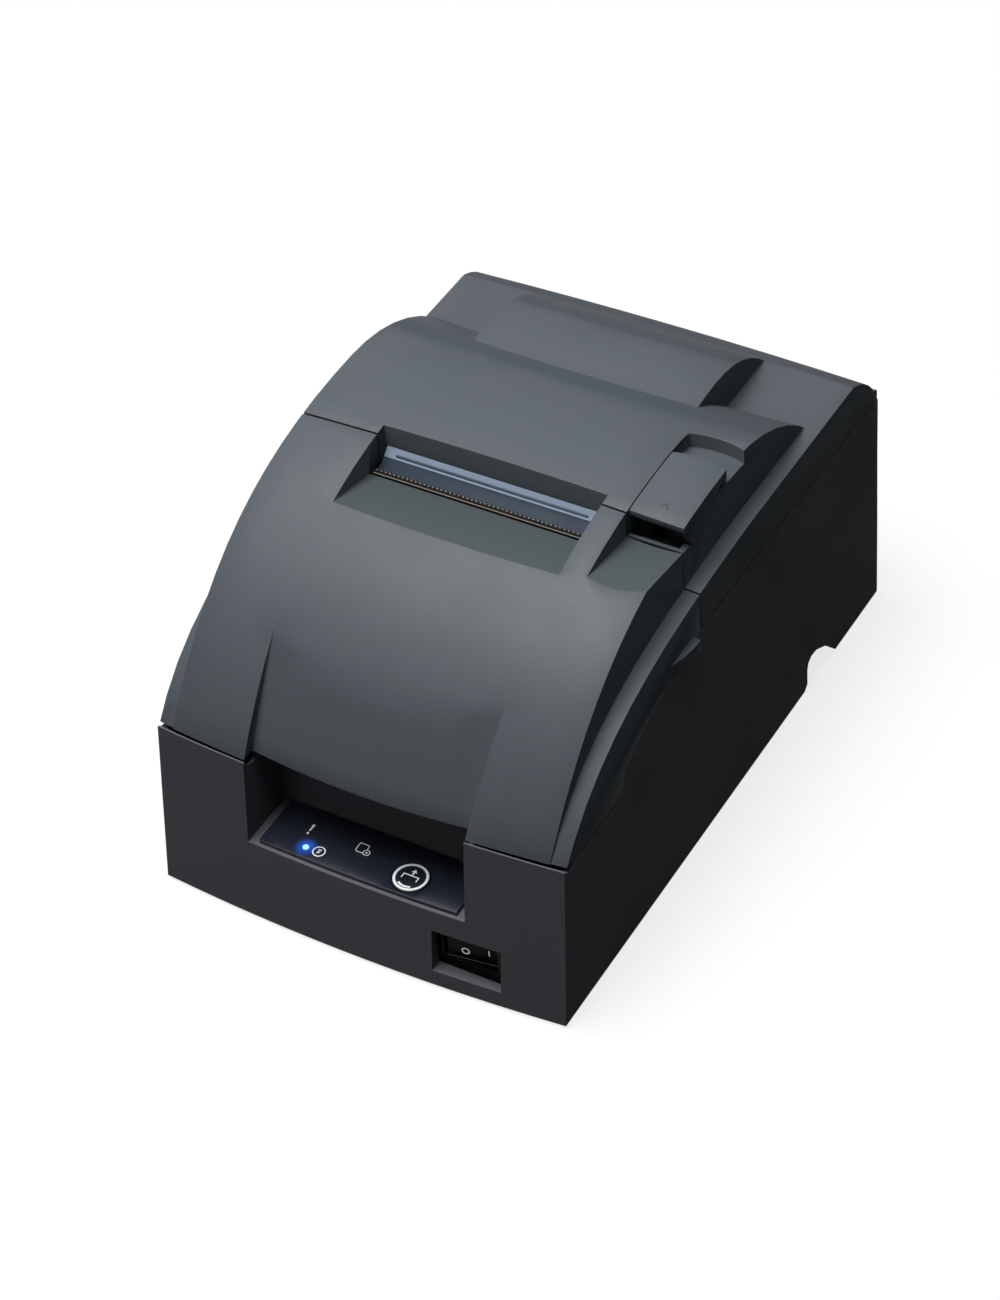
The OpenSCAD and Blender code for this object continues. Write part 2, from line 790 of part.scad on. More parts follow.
module button_board() {
    color(board_green) {
        intersection() {
            case_block(wall + 0.4);
            block([-38, 38], [front_y, shelf_back_y - 1], [board_z, board_z + 1.6]);
        }
        // the switch, with a bore that guides the button's stem
        difference() {
            block([button_x - 3, button_x + 3], [button_y - 3, button_y + 3],
                [board_z + 1.5, board_z + 3.8]);
            rod_z([button_x, button_y], board_z + 1.9, board_z + 5, 4 + 2 * run_gap);
        }
        // screw pillars up to the shelf
        for (x = [-34, 34]) rod_z([x, shelf_back_y - 8], board_z + 1.6, shelf_z - 2, 4);
    }
}
rocker_x = 43.2;
rocker_z = 17.8;
rocker_pivot = [rocker_x, switch_y - 1.5];
module power_switch_housing() {
    color(black) difference() {
        union() {
            block([switch_x[0] + 0.2, switch_x[1] - 0.2], [switch_y - 6.3, switch_y],
                [switch_z[0] + 0.2, switch_z[1] - 0.2]);
            block([switch_hole_x[0] + 0.2, switch_hole_x[1] - 0.2], [switch_y, switch_y + 14],
                [switch_hole_z[0] + 0.2, switch_hole_z[1] - 0.2]);
        }
        block([rocker_x - rocker_w / 2 - 0.4, rocker_x + rocker_w / 2 + 0.4],
            [front_y, switch_y + 7], [rocker_z - rocker_h / 2 - 0.3, rocker_z + rocker_h / 2 + 0.3]);
        rod_z(rocker_pivot, rocker_z - rocker_h / 2 - 1.2, rocker_z + rocker_h / 2 + 1.2,
            2 + 2 * run_gap);
    }
}
module power_rocker() {
    r = rocker_w / 2;
    color(black) {
        upright(rocker_z - rocker_h / 2, rocker_z + rocker_h / 2) polygon([
            rocker_pivot + [-r + 0.8, -4.6], rocker_pivot + [0, -3.4],
            rocker_pivot + [r - 0.8, -2.2], rocker_pivot + [r, -0.4],
            rocker_pivot + [r - 1, 2], rocker_pivot + [2, 5], rocker_pivot + [-2, 5],
            rocker_pivot + [-r + 1, 0.4], rocker_pivot + [-r, -2.2]
        ]);
        rod_z(rocker_pivot, rocker_z - rocker_h / 2 - 1, rocker_z + rocker_h / 2 + 1, 2);
    }
}

// ---------------------------------------------------------------- boards
pcb_z = floor_z + 4.4;
module main_board() {
    color(board_green) difference() {
        block([-52, 52], [-68, 56.8], [pcb_z, pcb_z + 1.6]);
        for (p = board_posts) rod_z(p, 0, 20, 3);
        for (p = frame_posts) rod_z(p, 0, 20, 11);
    }
}
module board_components() {
    top = pcb_z + 1.6;
    color([0.12, 0.12, 0.13]) {
        block([-16, 12], [-30, -2], [top, top + 2.6]);
        block([20, 34], [-28, -16], [top, top + 1.6]);
        block([-38, -24], [-24, -14], [top, top + 1.6]);
        block([-40, -18], [8, 14], [top, top + 7]);
        block([20, 42], [-52, -46], [top, top + 7]);
        block([-12, 0], [20, 24], [top, top + 5]);
        for (x = [20, 30, 40]) rod_z([x, 30], top, top + 11, 8);
        for (x = [-40, -30]) rod_z([x, 30], top, top + 9, 6.3);
    }
}
module data_connector() {
    top = pcb_z + 1.6;
    color(steel) difference() {
        block([-22, -8], [46, bay_y + 2.6], [top, top + 11]);
        block([-20.6, -9.4], [54, bay_y + 5], [top + 1.4, top + 9.6]);
    }
    color(white_nylon) block([-18.4, -11.6], [52, bay_y + 1], [top + 3.6, top + 7.4]);
}
module drawer_socket() {
    top = pcb_z + 1.6;
    color(black) difference() {
        block([4, 19], [44, bay_y + 2.6], [top, top + 13]);
        block([6, 17], [50, bay_y + 5], [top + 2, top + 9]);
        block([9, 14], [50, bay_y + 5], [top + 8.9, top + 11.4]);
    }
}
module power_socket() {
    top = pcb_z + 1.6;
    color(black) difference() {
        block([25, 39], [44, bay_y + 2.6], [top, top + 13]);
        rod_y([32, top + 6.5], 50, bay_y + 5, 9.6);
    }
    color(steel) for (a = [90, 210, 330])
        rod_y([32 + 2.4 * cos(a), top + 6.5 + 2.4 * sin(a)], 50, bay_y + 1, 1.2);
}

// ---------------------------------------------------------------- frame
shaft_place = [-48, 58];
feed_place = [-13.6 - feed_d / 2, 102];
pinch_place = [-13.3 + pinch_d / 2, feed_place[1]];
motor_place = [-26, 45];
feed_shaft_d = 5;
bush_d = 9;
belt_y = [-66, -62];
belt_x = 42;
belt_z = 58;
belt_t = 1.2;
head_place = [0, 76];
gear_x = [frame_half + 1, frame_half + 4.4];

module frame_side() {
    difference() {
        polygon([
            [-86, frame_seat_z + 1.5], [-8, frame_seat_z + 1.5], [-8, 92], [-12.6, 96],
            [-12.6, 106], [-6, 107], [-5, 114.6], [-28, 116], [-46, 114], [-62, 100],
            [-86, 90]
        ]);
        translate([-70, 78]) circle(d = 14);
        translate([-28, 62]) circle(d = 9);
        translate([-74, 40]) circle(d = 12);
        translate([-52, 38]) circle(d = 10);
        translate(shaft_place) circle(d = shaft_d + 2 * run_gap);
        translate(feed_place) circle(d = bush_d);
    }
}
module left_frame() {
    color(steel) across(-frame_half, -frame_half + plate_t) frame_side();
}
module right_frame() {
    color(steel) difference() {
        across(frame_half - plate_t, frame_half) frame_side();
        rod_x(motor_place, 0, far, 5);
    }
    color(steel) rod_x(idler_place, frame_half, gear_x[1] + 1.4, 4);
}
module frame_base() {
    color(steel) difference() {
        block([-frame_half, frame_half], [-86, -8], [frame_seat_z, frame_seat_z + 1.5]);
        for (p = frame_posts) rod_z(p, 0, 60, 3.2);
    }
}
module frame_screws() {
    color(steel) for (p = frame_posts) difference() {
        union() {
            rod_z(p, frame_seat_z + 1.5, frame_seat_z + 3.5, 6);
            rod_z(p, frame_seat_z, frame_seat_z + 1.5, 3.1);
        }
        block([p[0] - 3, p[0] + 3], [p[1] - 0.5, p[1] + 0.5],
            [frame_seat_z + 2.6, frame_seat_z + 4]);
    }
}
module front_rail() {
    w = frame_half - plate_t;
    color(steel) difference() {
        union() {
            block([-w, w], [-68, -66.8], [40, 80]);
            rod_y([belt_x, belt_z], -66.8, -61.2, 3);
        }
        rod_y([-belt_x, belt_z], -70, -60, 8);
        block([-14, 30], [-70, -60], [44, 50]);
    }
}
module carriage_shaft() {
    color(steel) rod_x(shaft_place, -frame_half - 1.4, frame_half + 0.6, shaft_d);
}

// ---------------------------------------------------------------- carriage
module print_carriage() {
    c = carriage_half;
    color(dark) difference() {
        union() {
            block([-c, c], [-60, -34], [52.5, 63.6]);
            across(-c, -c + 2.4) carriage_cheek();
            across(c - 2.4, c) carriage_cheek();
            block([-8, 8], [-66, -59], [65.5, 68.5]);
            block([-8, 8], [-60.5, -58], [60, 68.5]);
        }
        rod_x(shaft_place, -far, far, shaft_d + 2 * run_gap);
        rod_y(head_place, -61, -20, head_d + 0.1);
    }
}
module carriage_cheek() {
    polygon([[-60, 60], [-34, 60], [-34, 70], [-40, 80], [-54, 80], [-60, 70]]);
}
module print_head() {
    color([0.5, 0.51, 0.53]) difference() {
        union() {
            rod_y(head_place, -56, -26, head_d);
            block([-6, 6], [-27, -19], [70, 82]);
            block([-3, 3], [-20, -15.6], [73, 79]);
        }
        for (y = [-53:4:-33]) difference() {
            rod_y(head_place, y, y + 1.8, head_d + 2);
            rod_y(head_place, y - 1, y + 3, head_d - 5);
        }
    }
}
module belt_loop(r) {
    for (x = [-belt_x, belt_x]) translate([x, belt_z]) circle(r = r);
    box2([-belt_x, belt_x], [belt_z - r, belt_z + r]);
}
module carriage_belt() {
    color(black) along(belt_y[0], belt_y[1]) difference() {
        belt_loop(pulley_r + belt_t);
        belt_loop(pulley_r + 0.2);
    }
}
module pulley(bore) {
    difference() {
        union() {
            rod_y([0, 0], -66.3, -61.7, 2 * pulley_r);
            rod_y([0, 0], -66.5, -66.3, 2 * pulley_r - 2);
            rod_y([0, 0], -61.7, -61.3, 2 * pulley_r + 3);
        }
        if (bore > 0) rod_y([0, 0], -70, -50, bore);
        for (a = [0:30:330]) rod_y([pulley_r * cos(a), pulley_r * sin(a)], -66.4, -61.7, 1);
    }
}
module drive_pulley() {
    color(steel) translate([-belt_x, 0, belt_z]) {
        pulley(0);
        rod_y([0, 0], -67.8, -66.4, 4);
    }
}
module idler_pulley() {
    color(steel) translate([belt_x, 0, belt_z]) pulley(3 + 2 * run_gap);
}
module carriage_motor() {
    color(steel) {
        rod_y([-belt_x, belt_z], -86, -68, 36);
        rod_y([-belt_x, belt_z], -88, -86, 12);
    }
}

// ---------------------------------------------------------------- paper feed
gear_gap = 0.1;
feed_line = feed_place - motor_place;
feed_reach = norm(feed_line);
gear_m = (feed_reach - 2 * gear_gap) / (pinion_teeth / 2 + idler_teeth + roller_teeth / 2);
feed_way = feed_line / feed_reach;
feed_angle = atan2(feed_line[1], feed_line[0]);
idler_place = motor_place
    + feed_way * (gear_m * (pinion_teeth + idler_teeth) / 2 + gear_gap);
// Plane outline of a spur gear with slim teeth, the first one at the given angle
module gear(teeth, first) {
    r = gear_m * teeth / 2;
    pitch = 360 / teeth;
    polygon([
        for (i = [0:teeth - 1])
            for (k = [[-0.34, -1.15], [-0.2, 0], [-0.1, 0.85], [0.1, 0.85], [0.2, 0], [0.34, -1.15]])
                (r + gear_m * k[1]) * along_angle(first + pitch * (i + k[0]))
    ]);
}
module platen() {
    w = frame_half - plate_t;
    color(steel) {
        block([-w, w], [-13.2, -8.4], [66, 84]);
    }
}
module paper_guide() {
    w = frame_half - plate_t - 0.2;
    color(steel) across(-w, w) {
        difference() {
            translate([-1, 63]) circle(r = 11.6, $fn = 96);
            translate([-1, 63]) circle(r = 10.6, $fn = 96);
            box2([-20, 20], [63, 80]);
        }
        box2([9.6, 10.6], [62.9, 88]);
    }
}
module feed_roller() {
    color(rubber) for (x = [-50, -24, 2, 28])
        rod_x(feed_place, x, x + 22, feed_d);
    color(steel) rod_x(feed_place, -frame_half - 1.2, gear_x[1] + 1.4, feed_shaft_d);
}
module roller_gear() {
    color(white_nylon) difference() {
        across(gear_x[0], gear_x[1]) translate(feed_place)
            gear(roller_teeth, feed_angle + 180 + 180 / roller_teeth);
        rod_x(feed_place, 0, far, feed_shaft_d);
        for (a = [0:60:300]) rod_x(feed_place + 8 * along_angle(a), 0, far, 3.4);
    }
}
module roller_bushes() {
    color(brass) both_sides() difference() {
        union() {
            rod_x(feed_place, frame_half - plate_t, frame_half, bush_d);
            rod_x(feed_place, frame_half - plate_t - 1, frame_half - plate_t, bush_d + 3);
        }
        rod_x(feed_place, 0, far, feed_shaft_d + 2 * run_gap);
    }
}
module idler_gear() {
    color(white_nylon) difference() {
        across(gear_x[0], gear_x[1]) translate(idler_place)
            gear(idler_teeth, feed_angle + 180 + 180 / idler_teeth);
        rod_x(idler_place, 0, far, 4 + 2 * run_gap);
        for (a = [0:45:315]) rod_x(idler_place + 13.5 * along_angle(a), 0, far, 7);
    }
}
module motor_pinion() {
    color(brass) {
        across(gear_x[0], gear_x[1]) translate(motor_place) gear(pinion_teeth, feed_angle);
        rod_x(motor_place, frame_half - plate_t + 0.1, gear_x[0], 3);
    }
}
module feed_motor() {
    color(steel) {
        rod_x(motor_place, 50.5, frame_half - plate_t, 30);
        rod_x(motor_place, 48.5, 50.5, 9);
    }
}

// ---------------------------------------------------------------- cutter and exit
cut_z = 112;
module cutter_base() {
    w = frame_half - plate_t;
    color(steel) difference() {
        block([-w, w], [-42, -16.4], [cut_z, cut_z + 1.4]);
        block([-30, 30], [-38, -28], [cut_z - 1, cut_z + 3]);
    }
}
module cutter_blade() {
    color(steel) difference() {
        upright(cut_z + 1.6, cut_z + 2.6) polygon([
            [-40, -38], [40, -38], [40, -18], [20, -20], [0, -21], [-20, -20], [-40, -18]
        ]);
        for (x = [-32, 32]) block([x - 1.6, x + 1.6], [-34, -25], [100, 120]);
    }
}
module cutter_motor() {
    color(steel) {
        rod_x([-33, cut_z + 7], -62, -46, 11);
        block([-58, -50], [-37, -29], [cut_z + 1.4, cut_z + 3]);
    }
}
module exit_frame() {
    color(steel) {
        block([-43, 43], [-40, -16.4], [118.6, 120]);
        both_sides() block([41.6, 43], [-40, -16.4], [cut_z + 1.4, 118.6]);
        block([-42.5, 42.5], [-21.8, -20.4], [120, 123.6]);
    }
}
module tear_bar() {
    pitch = 1.7;
    teeth = 50;
    color(brass) upright(123.6, 124.4) polygon(concat(
        [[-42.5, -22.1]],
        [for (i = [0:teeth - 1]) each [
            [-42.5 + i * pitch, -20.2], [-42.5 + (i + 0.5) * pitch, -18.9]
        ]],
        [[42.5, -20.2], [42.5, -22.1]]
    ));
}
module exit_plate() {
    color(blue_steel) difference() {
        across(-42.4, 42.4) polygon([
            [-20.4, 122.2], [-15, 123.4], [-11.3, 127], [-11.3, 128.4], [-15.4, 124.4],
            [-20.4, 123.3]
        ]);
        block([-38, 37], [-13.5, -12.8], [120, 130]);
    }
}

// ---------------------------------------------------------------- roll cover's inner side
module cover_bracket() {
    color(steel) {
        block([-49, 49], [2, 3.2], [98, boss_z - 1.2]);
        block([-49, 49], [boss_y[0], boss_y[1]], [boss_z - 1.2, boss_z]);
        both_sides() difference() {
            across(47.8, 49) polygon([
                [2, 98], [2, 116], [-9, 115.6], [-13, 113.5], [-13.6, 98]
            ]);
            rod_x(pinch_place, 40, 60, 3 + 2 * run_gap);
        }
    }
}
module pinch_roller() {
    color(rubber) for (x = [-45, -21, 3]) rod_x(pinch_place, x, x + 20, pinch_d);
    color(rubber) rod_x(pinch_place, 27, 45, pinch_d);
    color(steel) rod_x(pinch_place, -50, 50, 3);
}
module fixed_blade() {
    color(steel) block([-47.6, 47.6], [-12.8, -7], [cut_z + 0.1, cut_z + 1.4]);
}

// ---------------------------------------------------------------- ribbon
module ribbon_cassette() {
    color(dark) difference() {
        union() {
            upright(91, 101) polygon([
                [-58, -74], [58, -74], [60, -68], [60, -27], [-60, -27], [-60, -68]
            ]);
            both_sides() block([50, 60], [-31, -27], [68, 96]);
            both_sides() block([52, 60], [-28, -15.4], [70, 94]);
        }
        both_sides() block([49, 51.4], [-31.5, -16], [66, 84]);
        rod_z([-38, -56], 99, 110, 7.2);
        both_sides() block([50, 62], [-24.6, -10], [95, 120]);
    }
}
module ribbon_band() {
    color(black) block([-52, 52], [-15.4, -15.1], [71, 83]);
}
module ribbon_knob() {
    color(dark) difference() {
        union() {
            rod_z([-38, -56], 99.2, 101.4, 7);
            rod_z([-38, -56], 101.4, 107, 15);
        }
        for (a = [0:30:330])
            rod_z([-38 + 7.8 * cos(a), -56 + 7.8 * sin(a)], 101.9, 108, 2);
    }
}

// ---------------------------------------------------------------- paper bin
bin_place = [60, 78];
bin_t = 2;
module bin_profile(r) {
    translate(bin_place) circle(r = r, $fn = 120);
    box2([bin_place[0] - r, bin_place[0] + r], [bin_place[1], 91]);
}
module paper_bin() {
    w = roll_w / 2;
    color(dark) {
        difference() {
            across(-w - bin_t, w + bin_t) intersection() {
                bin_profile(bin_r + bin_t);
                box2([0, far], [0, 91]);
            }
            across(-w, w) bin_profile(bin_r);
            across(-w, w) box2([bin_place[0] - bin_r, bin_place[0] + bin_r], [78, 99]);
        }
        both_sides() block([20, 34], [54, 66], [bay_top + wall, bin_place[1] - bin_r - 1]);
    }
}
module near_end_sensor() {
    w = roll_w / 2 + bin_t;
    color(black) {
        block([w, w + 9], [44, 58], [50, 64]);
        block([w + 9, w + 12], [48, 54], [54, 60]);
    }
}

lower_case();
rubber_feet();
front_cover();
front_hinge_pins();
roll_cover();
roll_hinge_pins();
release_lever();
lever_pin();
latch_hook();
latch_stud();
control_panel();
status_lenses();
feed_button();
button_board();
power_switch_housing();
power_rocker();
main_board();
board_components();
data_connector();
drawer_socket();
power_socket();
left_frame();
right_frame();
frame_base();
frame_screws();
front_rail();
carriage_shaft();
print_carriage();
print_head();
carriage_belt();
drive_pulley();
idler_pulley();
carriage_motor();
platen();
paper_guide();
feed_roller();
roller_gear();
roller_bushes();
idler_gear();
motor_pinion();
feed_motor();
cutter_base();
cutter_blade();
cutter_motor();
exit_frame();
tear_bar();
exit_plate();
cover_bracket();
pinch_roller();
fixed_blade();
ribbon_cassette();
ribbon_band();
ribbon_knob();
paper_bin();
near_end_sensor();
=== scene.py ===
# Dot matrix receipt printer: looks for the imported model, in metres, front at -Y.
import math

import bmesh
import bpy
from mathutils import Matrix, Vector
from mathutils.bvhtree import BVHTree


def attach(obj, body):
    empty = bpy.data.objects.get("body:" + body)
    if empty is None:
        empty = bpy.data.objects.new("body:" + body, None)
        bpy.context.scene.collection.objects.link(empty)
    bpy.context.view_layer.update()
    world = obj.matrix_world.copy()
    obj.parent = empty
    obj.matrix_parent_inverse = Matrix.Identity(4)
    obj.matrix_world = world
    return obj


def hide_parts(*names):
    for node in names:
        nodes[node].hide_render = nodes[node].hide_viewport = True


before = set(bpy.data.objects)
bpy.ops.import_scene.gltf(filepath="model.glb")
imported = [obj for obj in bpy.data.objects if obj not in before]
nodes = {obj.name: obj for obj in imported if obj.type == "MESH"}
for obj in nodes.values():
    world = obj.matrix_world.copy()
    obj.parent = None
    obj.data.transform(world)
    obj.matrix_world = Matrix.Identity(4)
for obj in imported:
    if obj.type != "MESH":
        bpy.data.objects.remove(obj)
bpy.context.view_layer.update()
MM = 0.001

# places on the solids that the looks follow, in mm
PANEL_TOP = 35.2
LAMP_AT = (-22.6, -114.0)
BUTTON_AT = (17.2, -110.9)
BUTTON_RISE = 0.5
ROCKER_PIVOT = (43.2, -113.3)
ROCKER_FACE_AHEAD = 3.4
ROCKER_TILT = 1.2 / 9.2
ROCKER_FOOT = (12.2, 13.2)
HUMP_CLEAR_X = 48
EXIT_HALF_X = 45
SCOOP_X = (52, 73)
BAND_FRONT_Y = -14.0
BAND_LOW_Z = 124.3
BOARD_TOP = 9.6


def add_node(tree, kind, **values):
    """A shader node with its inputs, or else its own settings, by name."""
    node = tree.nodes.new(kind)
    for key, value in values.items():
        if key in node.inputs:
            node.inputs[key].default_value = value
        else:
            setattr(node, key, value)
    return node


# ------------------------------------------------------------------ camera
PHOTO_FOCAL_PX = 3680
PHOTO_HEIGHT_PX = 1300
SENSOR_MM = 36
CAMERA_AT = (0.5167, -0.8174, 0.924)
CAMERA_RIGHT = (0.8683, 0.4921, -0.0631)
CAMERA_FORWARD = (-0.4007, 0.6206, -0.674)


def aim_camera():
    """The photograph's own view, fitted to the corners of the case."""
    data = bpy.data.cameras.new("photo_camera")
    data.lens = PHOTO_FOCAL_PX / PHOTO_HEIGHT_PX * SENSOR_MM
    data.sensor_width = SENSOR_MM
    data.clip_end = 20
    camera = bpy.data.objects.new("photo_camera", data)
    right = Vector(CAMERA_RIGHT).normalized()
    forward = Vector(CAMERA_FORWARD).normalized()
    up = right.cross(forward).normalized()
    right = forward.cross(up)
    turn = Matrix((right, up, -forward)).transposed().to_4x4()
    camera.matrix_world = Matrix.Translation(CAMERA_AT) @ turn
    bpy.context.scene.collection.objects.link(camera)
    bpy.context.scene.camera = camera


aim_camera()


# ------------------------------------------------------------------ materials
class Finish:
    """A node material, built from left to right on Object coordinates."""

    def __init__(self, name, color, roughness, metallic=0.0, specular=0.5):
        self.material = bpy.data.materials.new(name)
        self.material.use_nodes = True
        self.tree = self.material.node_tree
        self.shader = self.tree.nodes["Principled BSDF"]
        self.shader.inputs["Base Color"].default_value = (*color, 1)
        self.shader.inputs["Roughness"].default_value = roughness
        self.shader.inputs["Metallic"].default_value = metallic
        self.shader.inputs["Specular IOR Level"].default_value = specular
        self.places = self.add("ShaderNodeTexCoord").outputs
        self.coords = self.places["Object"]
        self.color = color
        self.normal = None

    def add(self, kind, **values):
        return add_node(self.tree, kind, **values)

    def join(self, a, b):
        self.tree.links.new(a, b)

    def noise(self, scale, detail, stretch=None):
        node = self.add("ShaderNodeTexNoise", Scale=scale, Detail=detail)
        start = self.coords
        if stretch:
            mapping = self.add("ShaderNodeMapping", Scale=stretch)
            self.join(self.coords, mapping.inputs["Vector"])
            start = mapping.outputs["Vector"]
        self.join(start, node.inputs["Vector"])
        return node.outputs["Fac"]

    def ramp(self, source, low, high, start=0.3, end=0.7, kind="LINEAR"):
        node = self.add("ShaderNodeMapRange", interpolation_type=kind)
        node.inputs["From Min"].default_value = start
        node.inputs["From Max"].default_value = end
        node.inputs["To Min"].default_value = low
        node.inputs["To Max"].default_value = high
        self.join(source, node.inputs["Value"])
        return node.outputs["Result"]

    def blend(self, factor, first, second):
        """Base colour that goes from the first colour to the second."""
        mix = self.add("ShaderNodeMix", data_type="RGBA")
        mix.inputs["A"].default_value = (*first, 1)
        mix.inputs["B"].default_value = (*second, 1)
        self.join(factor, mix.inputs["Factor"])
        self.join(mix.outputs["Result"], self.shader.inputs["Base Color"])

    def mottle(self, scale, amount):
        """Slow change of the colour, as in moulded or worn stock."""
        darker = [c * (1 - amount) for c in self.color]
        lighter = [min(1, c * (1 + amount)) for c in self.color]
        self.blend(self.noise(scale, 3.0), darker, lighter)

    def polish(self, scale, low, high, stretch=None):
        """Roughness that wanders between two values."""
        rough = self.ramp(self.noise(scale, 3.0, stretch), low, high)
        self.join(rough, self.shader.inputs["Roughness"])

    def grain(self, scale, depth_mm, strength, detail=2.0, stretch=None):
        """Fine relief, on top of any relief that is there."""
        bump = self.add("ShaderNodeBump", Strength=strength, Distance=depth_mm * MM)
        self.join(self.noise(scale, detail, stretch), bump.inputs["Height"])
        if self.normal:
            self.join(self.normal, bump.inputs["Normal"])
        self.normal = bump.outputs["Normal"]
        self.join(self.normal, self.shader.inputs["Normal"])


def textured_plastic(name, color, roughness, depth, specular=0.35):
    """Spark-eroded mould texture: a fine even grain, a slow mottle, soft sheen."""
    f = Finish(name, color, roughness, specular=specular)
    f.mottle(28, 0.05)
    f.polish(45, roughness - 0.05, roughness + 0.06)
    f.grain(1500, depth, strength=0.55)
    f.grain(420, depth * 0.6, strength=0.25, detail=1.0)
    return f.material


# painted sheen: the covers shine where their surface looks this way, as the overhead lamp's highlight
# would fall, and are dull 38 degrees from it
SHEEN_TOWARD = (0.05, -0.309, 0.95)
SHEEN_FROM, SHEEN_FULL = 0.79, 0.97
DULL_LEVEL = 0.004


def shell_plastic(name, color, sheen=0.24):
    """Textured shell with painted sheen: its shine is set by which way a face looks, satin on what
    faces up and a little forward, dull elsewhere.
    """
    f = Finish(name, color, 0.5)
    f.mottle(28, 0.04)
    f.polish(45, 0.45, 0.55)
    facing = f.add("ShaderNodeVectorMath", operation="DOT_PRODUCT")
    facing.inputs[1].default_value = SHEEN_TOWARD
    f.join(f.places["Normal"], facing.inputs[0])
    level = f.ramp(facing.outputs["Value"], DULL_LEVEL, sheen, SHEEN_FROM, SHEEN_FULL)
    f.join(level, f.shader.inputs["Specular IOR Level"])
    f.grain(1500, 0.022, strength=0.5)
    f.grain(420, 0.012, strength=0.25, detail=1.0)
    return f.material


def smooth_plastic(name, color, roughness, specular=0.5):
    """Plastic or ink with a fine, even surface."""
    f = Finish(name, color, roughness, specular=specular)
    f.mottle(40, 0.04)
    f.polish(70, roughness - 0.04, roughness + 0.08)
    f.grain(900, 0.006, strength=0.3)
    return f.material


def rolled_steel(name, color, roughness, along="x"):
    """Zinc plated sheet with the fine drawn lines of its rolling."""
    f = Finish(name, color, roughness, metallic=1.0)
    stretch = {"x": (0.03, 1, 1), "z": (1, 1, 0.03)}[along]
    f.mottle(24, 0.06)
    f.polish(800, roughness - 0.07, roughness + 0.09, stretch)
    f.grain(1300, 0.006, strength=0.35, stretch=stretch)
    return f.material


def turned_metal(name, color, roughness):
    """Ground or cast metal, with a fine grain that has no direction."""
    f = Finish(name, color, roughness, metallic=1.0)
    f.mottle(60, 0.05)
    f.polish(300, roughness - 0.05, roughness + 0.08)
    f.grain(1800, 0.004, strength=0.3)
    return f.material


def moulded_rubber(name, color, roughness=0.8):
    """Dull rubber with an open grain."""
    f = Finish(name, color, roughness, specular=0.25)
    f.mottle(60, 0.1)
    f.grain(700, 0.03, strength=0.5)
    return f.material


def circuit_board(name, color):
    """Solder mask over copper tracks that show as slightly lighter lanes."""
    f = Finish(name, color, 0.28)
    wave = f.add("ShaderNodeTexWave", Scale=90.0, Distortion=6.0, Detail=1.0)
    wave.inputs["Detail Scale"].default_value = 0.6
    f.join(f.coords, wave.inputs["Vector"])
    tracks = f.ramp(wave.outputs["Fac"], 0, 0.7, 0.72, 0.8)
    f.blend(tracks, color, [c * 1.7 + 0.01 for c in color])
    f.grain(500, 0.01, strength=0.3)
    return f.material


def inked_cloth(name, color):
    """Woven ribbon: two grains, one of them drawn out along the ribbon."""
    f = Finish(name, color, 0.85, specular=0.2)
    f.mottle(200, 0.2)
    f.grain(2500, 0.03, strength=0.6, detail=1.0)
    f.grain(2500, 0.02, strength=0.5, detail=1.0, stretch=(0.1, 1, 1))
    return f.material


GLOW_REACH_MM = 5.2
GLOW_CORE_MM = 0.8
GLOW_STRENGTH = 0.5
GLOW_BLUE = (0.01, 0.13, 0.95)


def lit_film(name, color, lamp):
    """Dark printed film that the lamp's light spreads through."""
    f = Finish(name, color, 0.26, specular=0.3)
    f.mottle(40, 0.04)
    f.grain(900, 0.005, strength=0.3)
    far = f.add("ShaderNodeVectorMath", operation="DISTANCE")
    far.inputs[1].default_value = [v * MM for v in lamp]
    f.join(f.coords, far.inputs[0])
    near = f.ramp(
        far.outputs["Value"], 0.0, GLOW_STRENGTH, GLOW_REACH_MM * MM, GLOW_CORE_MM * MM,
        "SMOOTHERSTEP",
    )
    f.shader.inputs["Emission Color"].default_value = (*GLOW_BLUE, 1)
    f.join(near, f.shader.inputs["Emission Strength"])
    return f.material


def glowing(name, color, strength):
    """A surface that gives off light of its own colour."""
    f = Finish(name, color, 0.2)
    f.shader.inputs["Emission Color"].default_value = (*color, 1)
    f.shader.inputs["Emission Strength"].default_value = strength
    f.mottle(900, 0.05)
    f.grain(800, 0.004, strength=0.2)
    return f.material


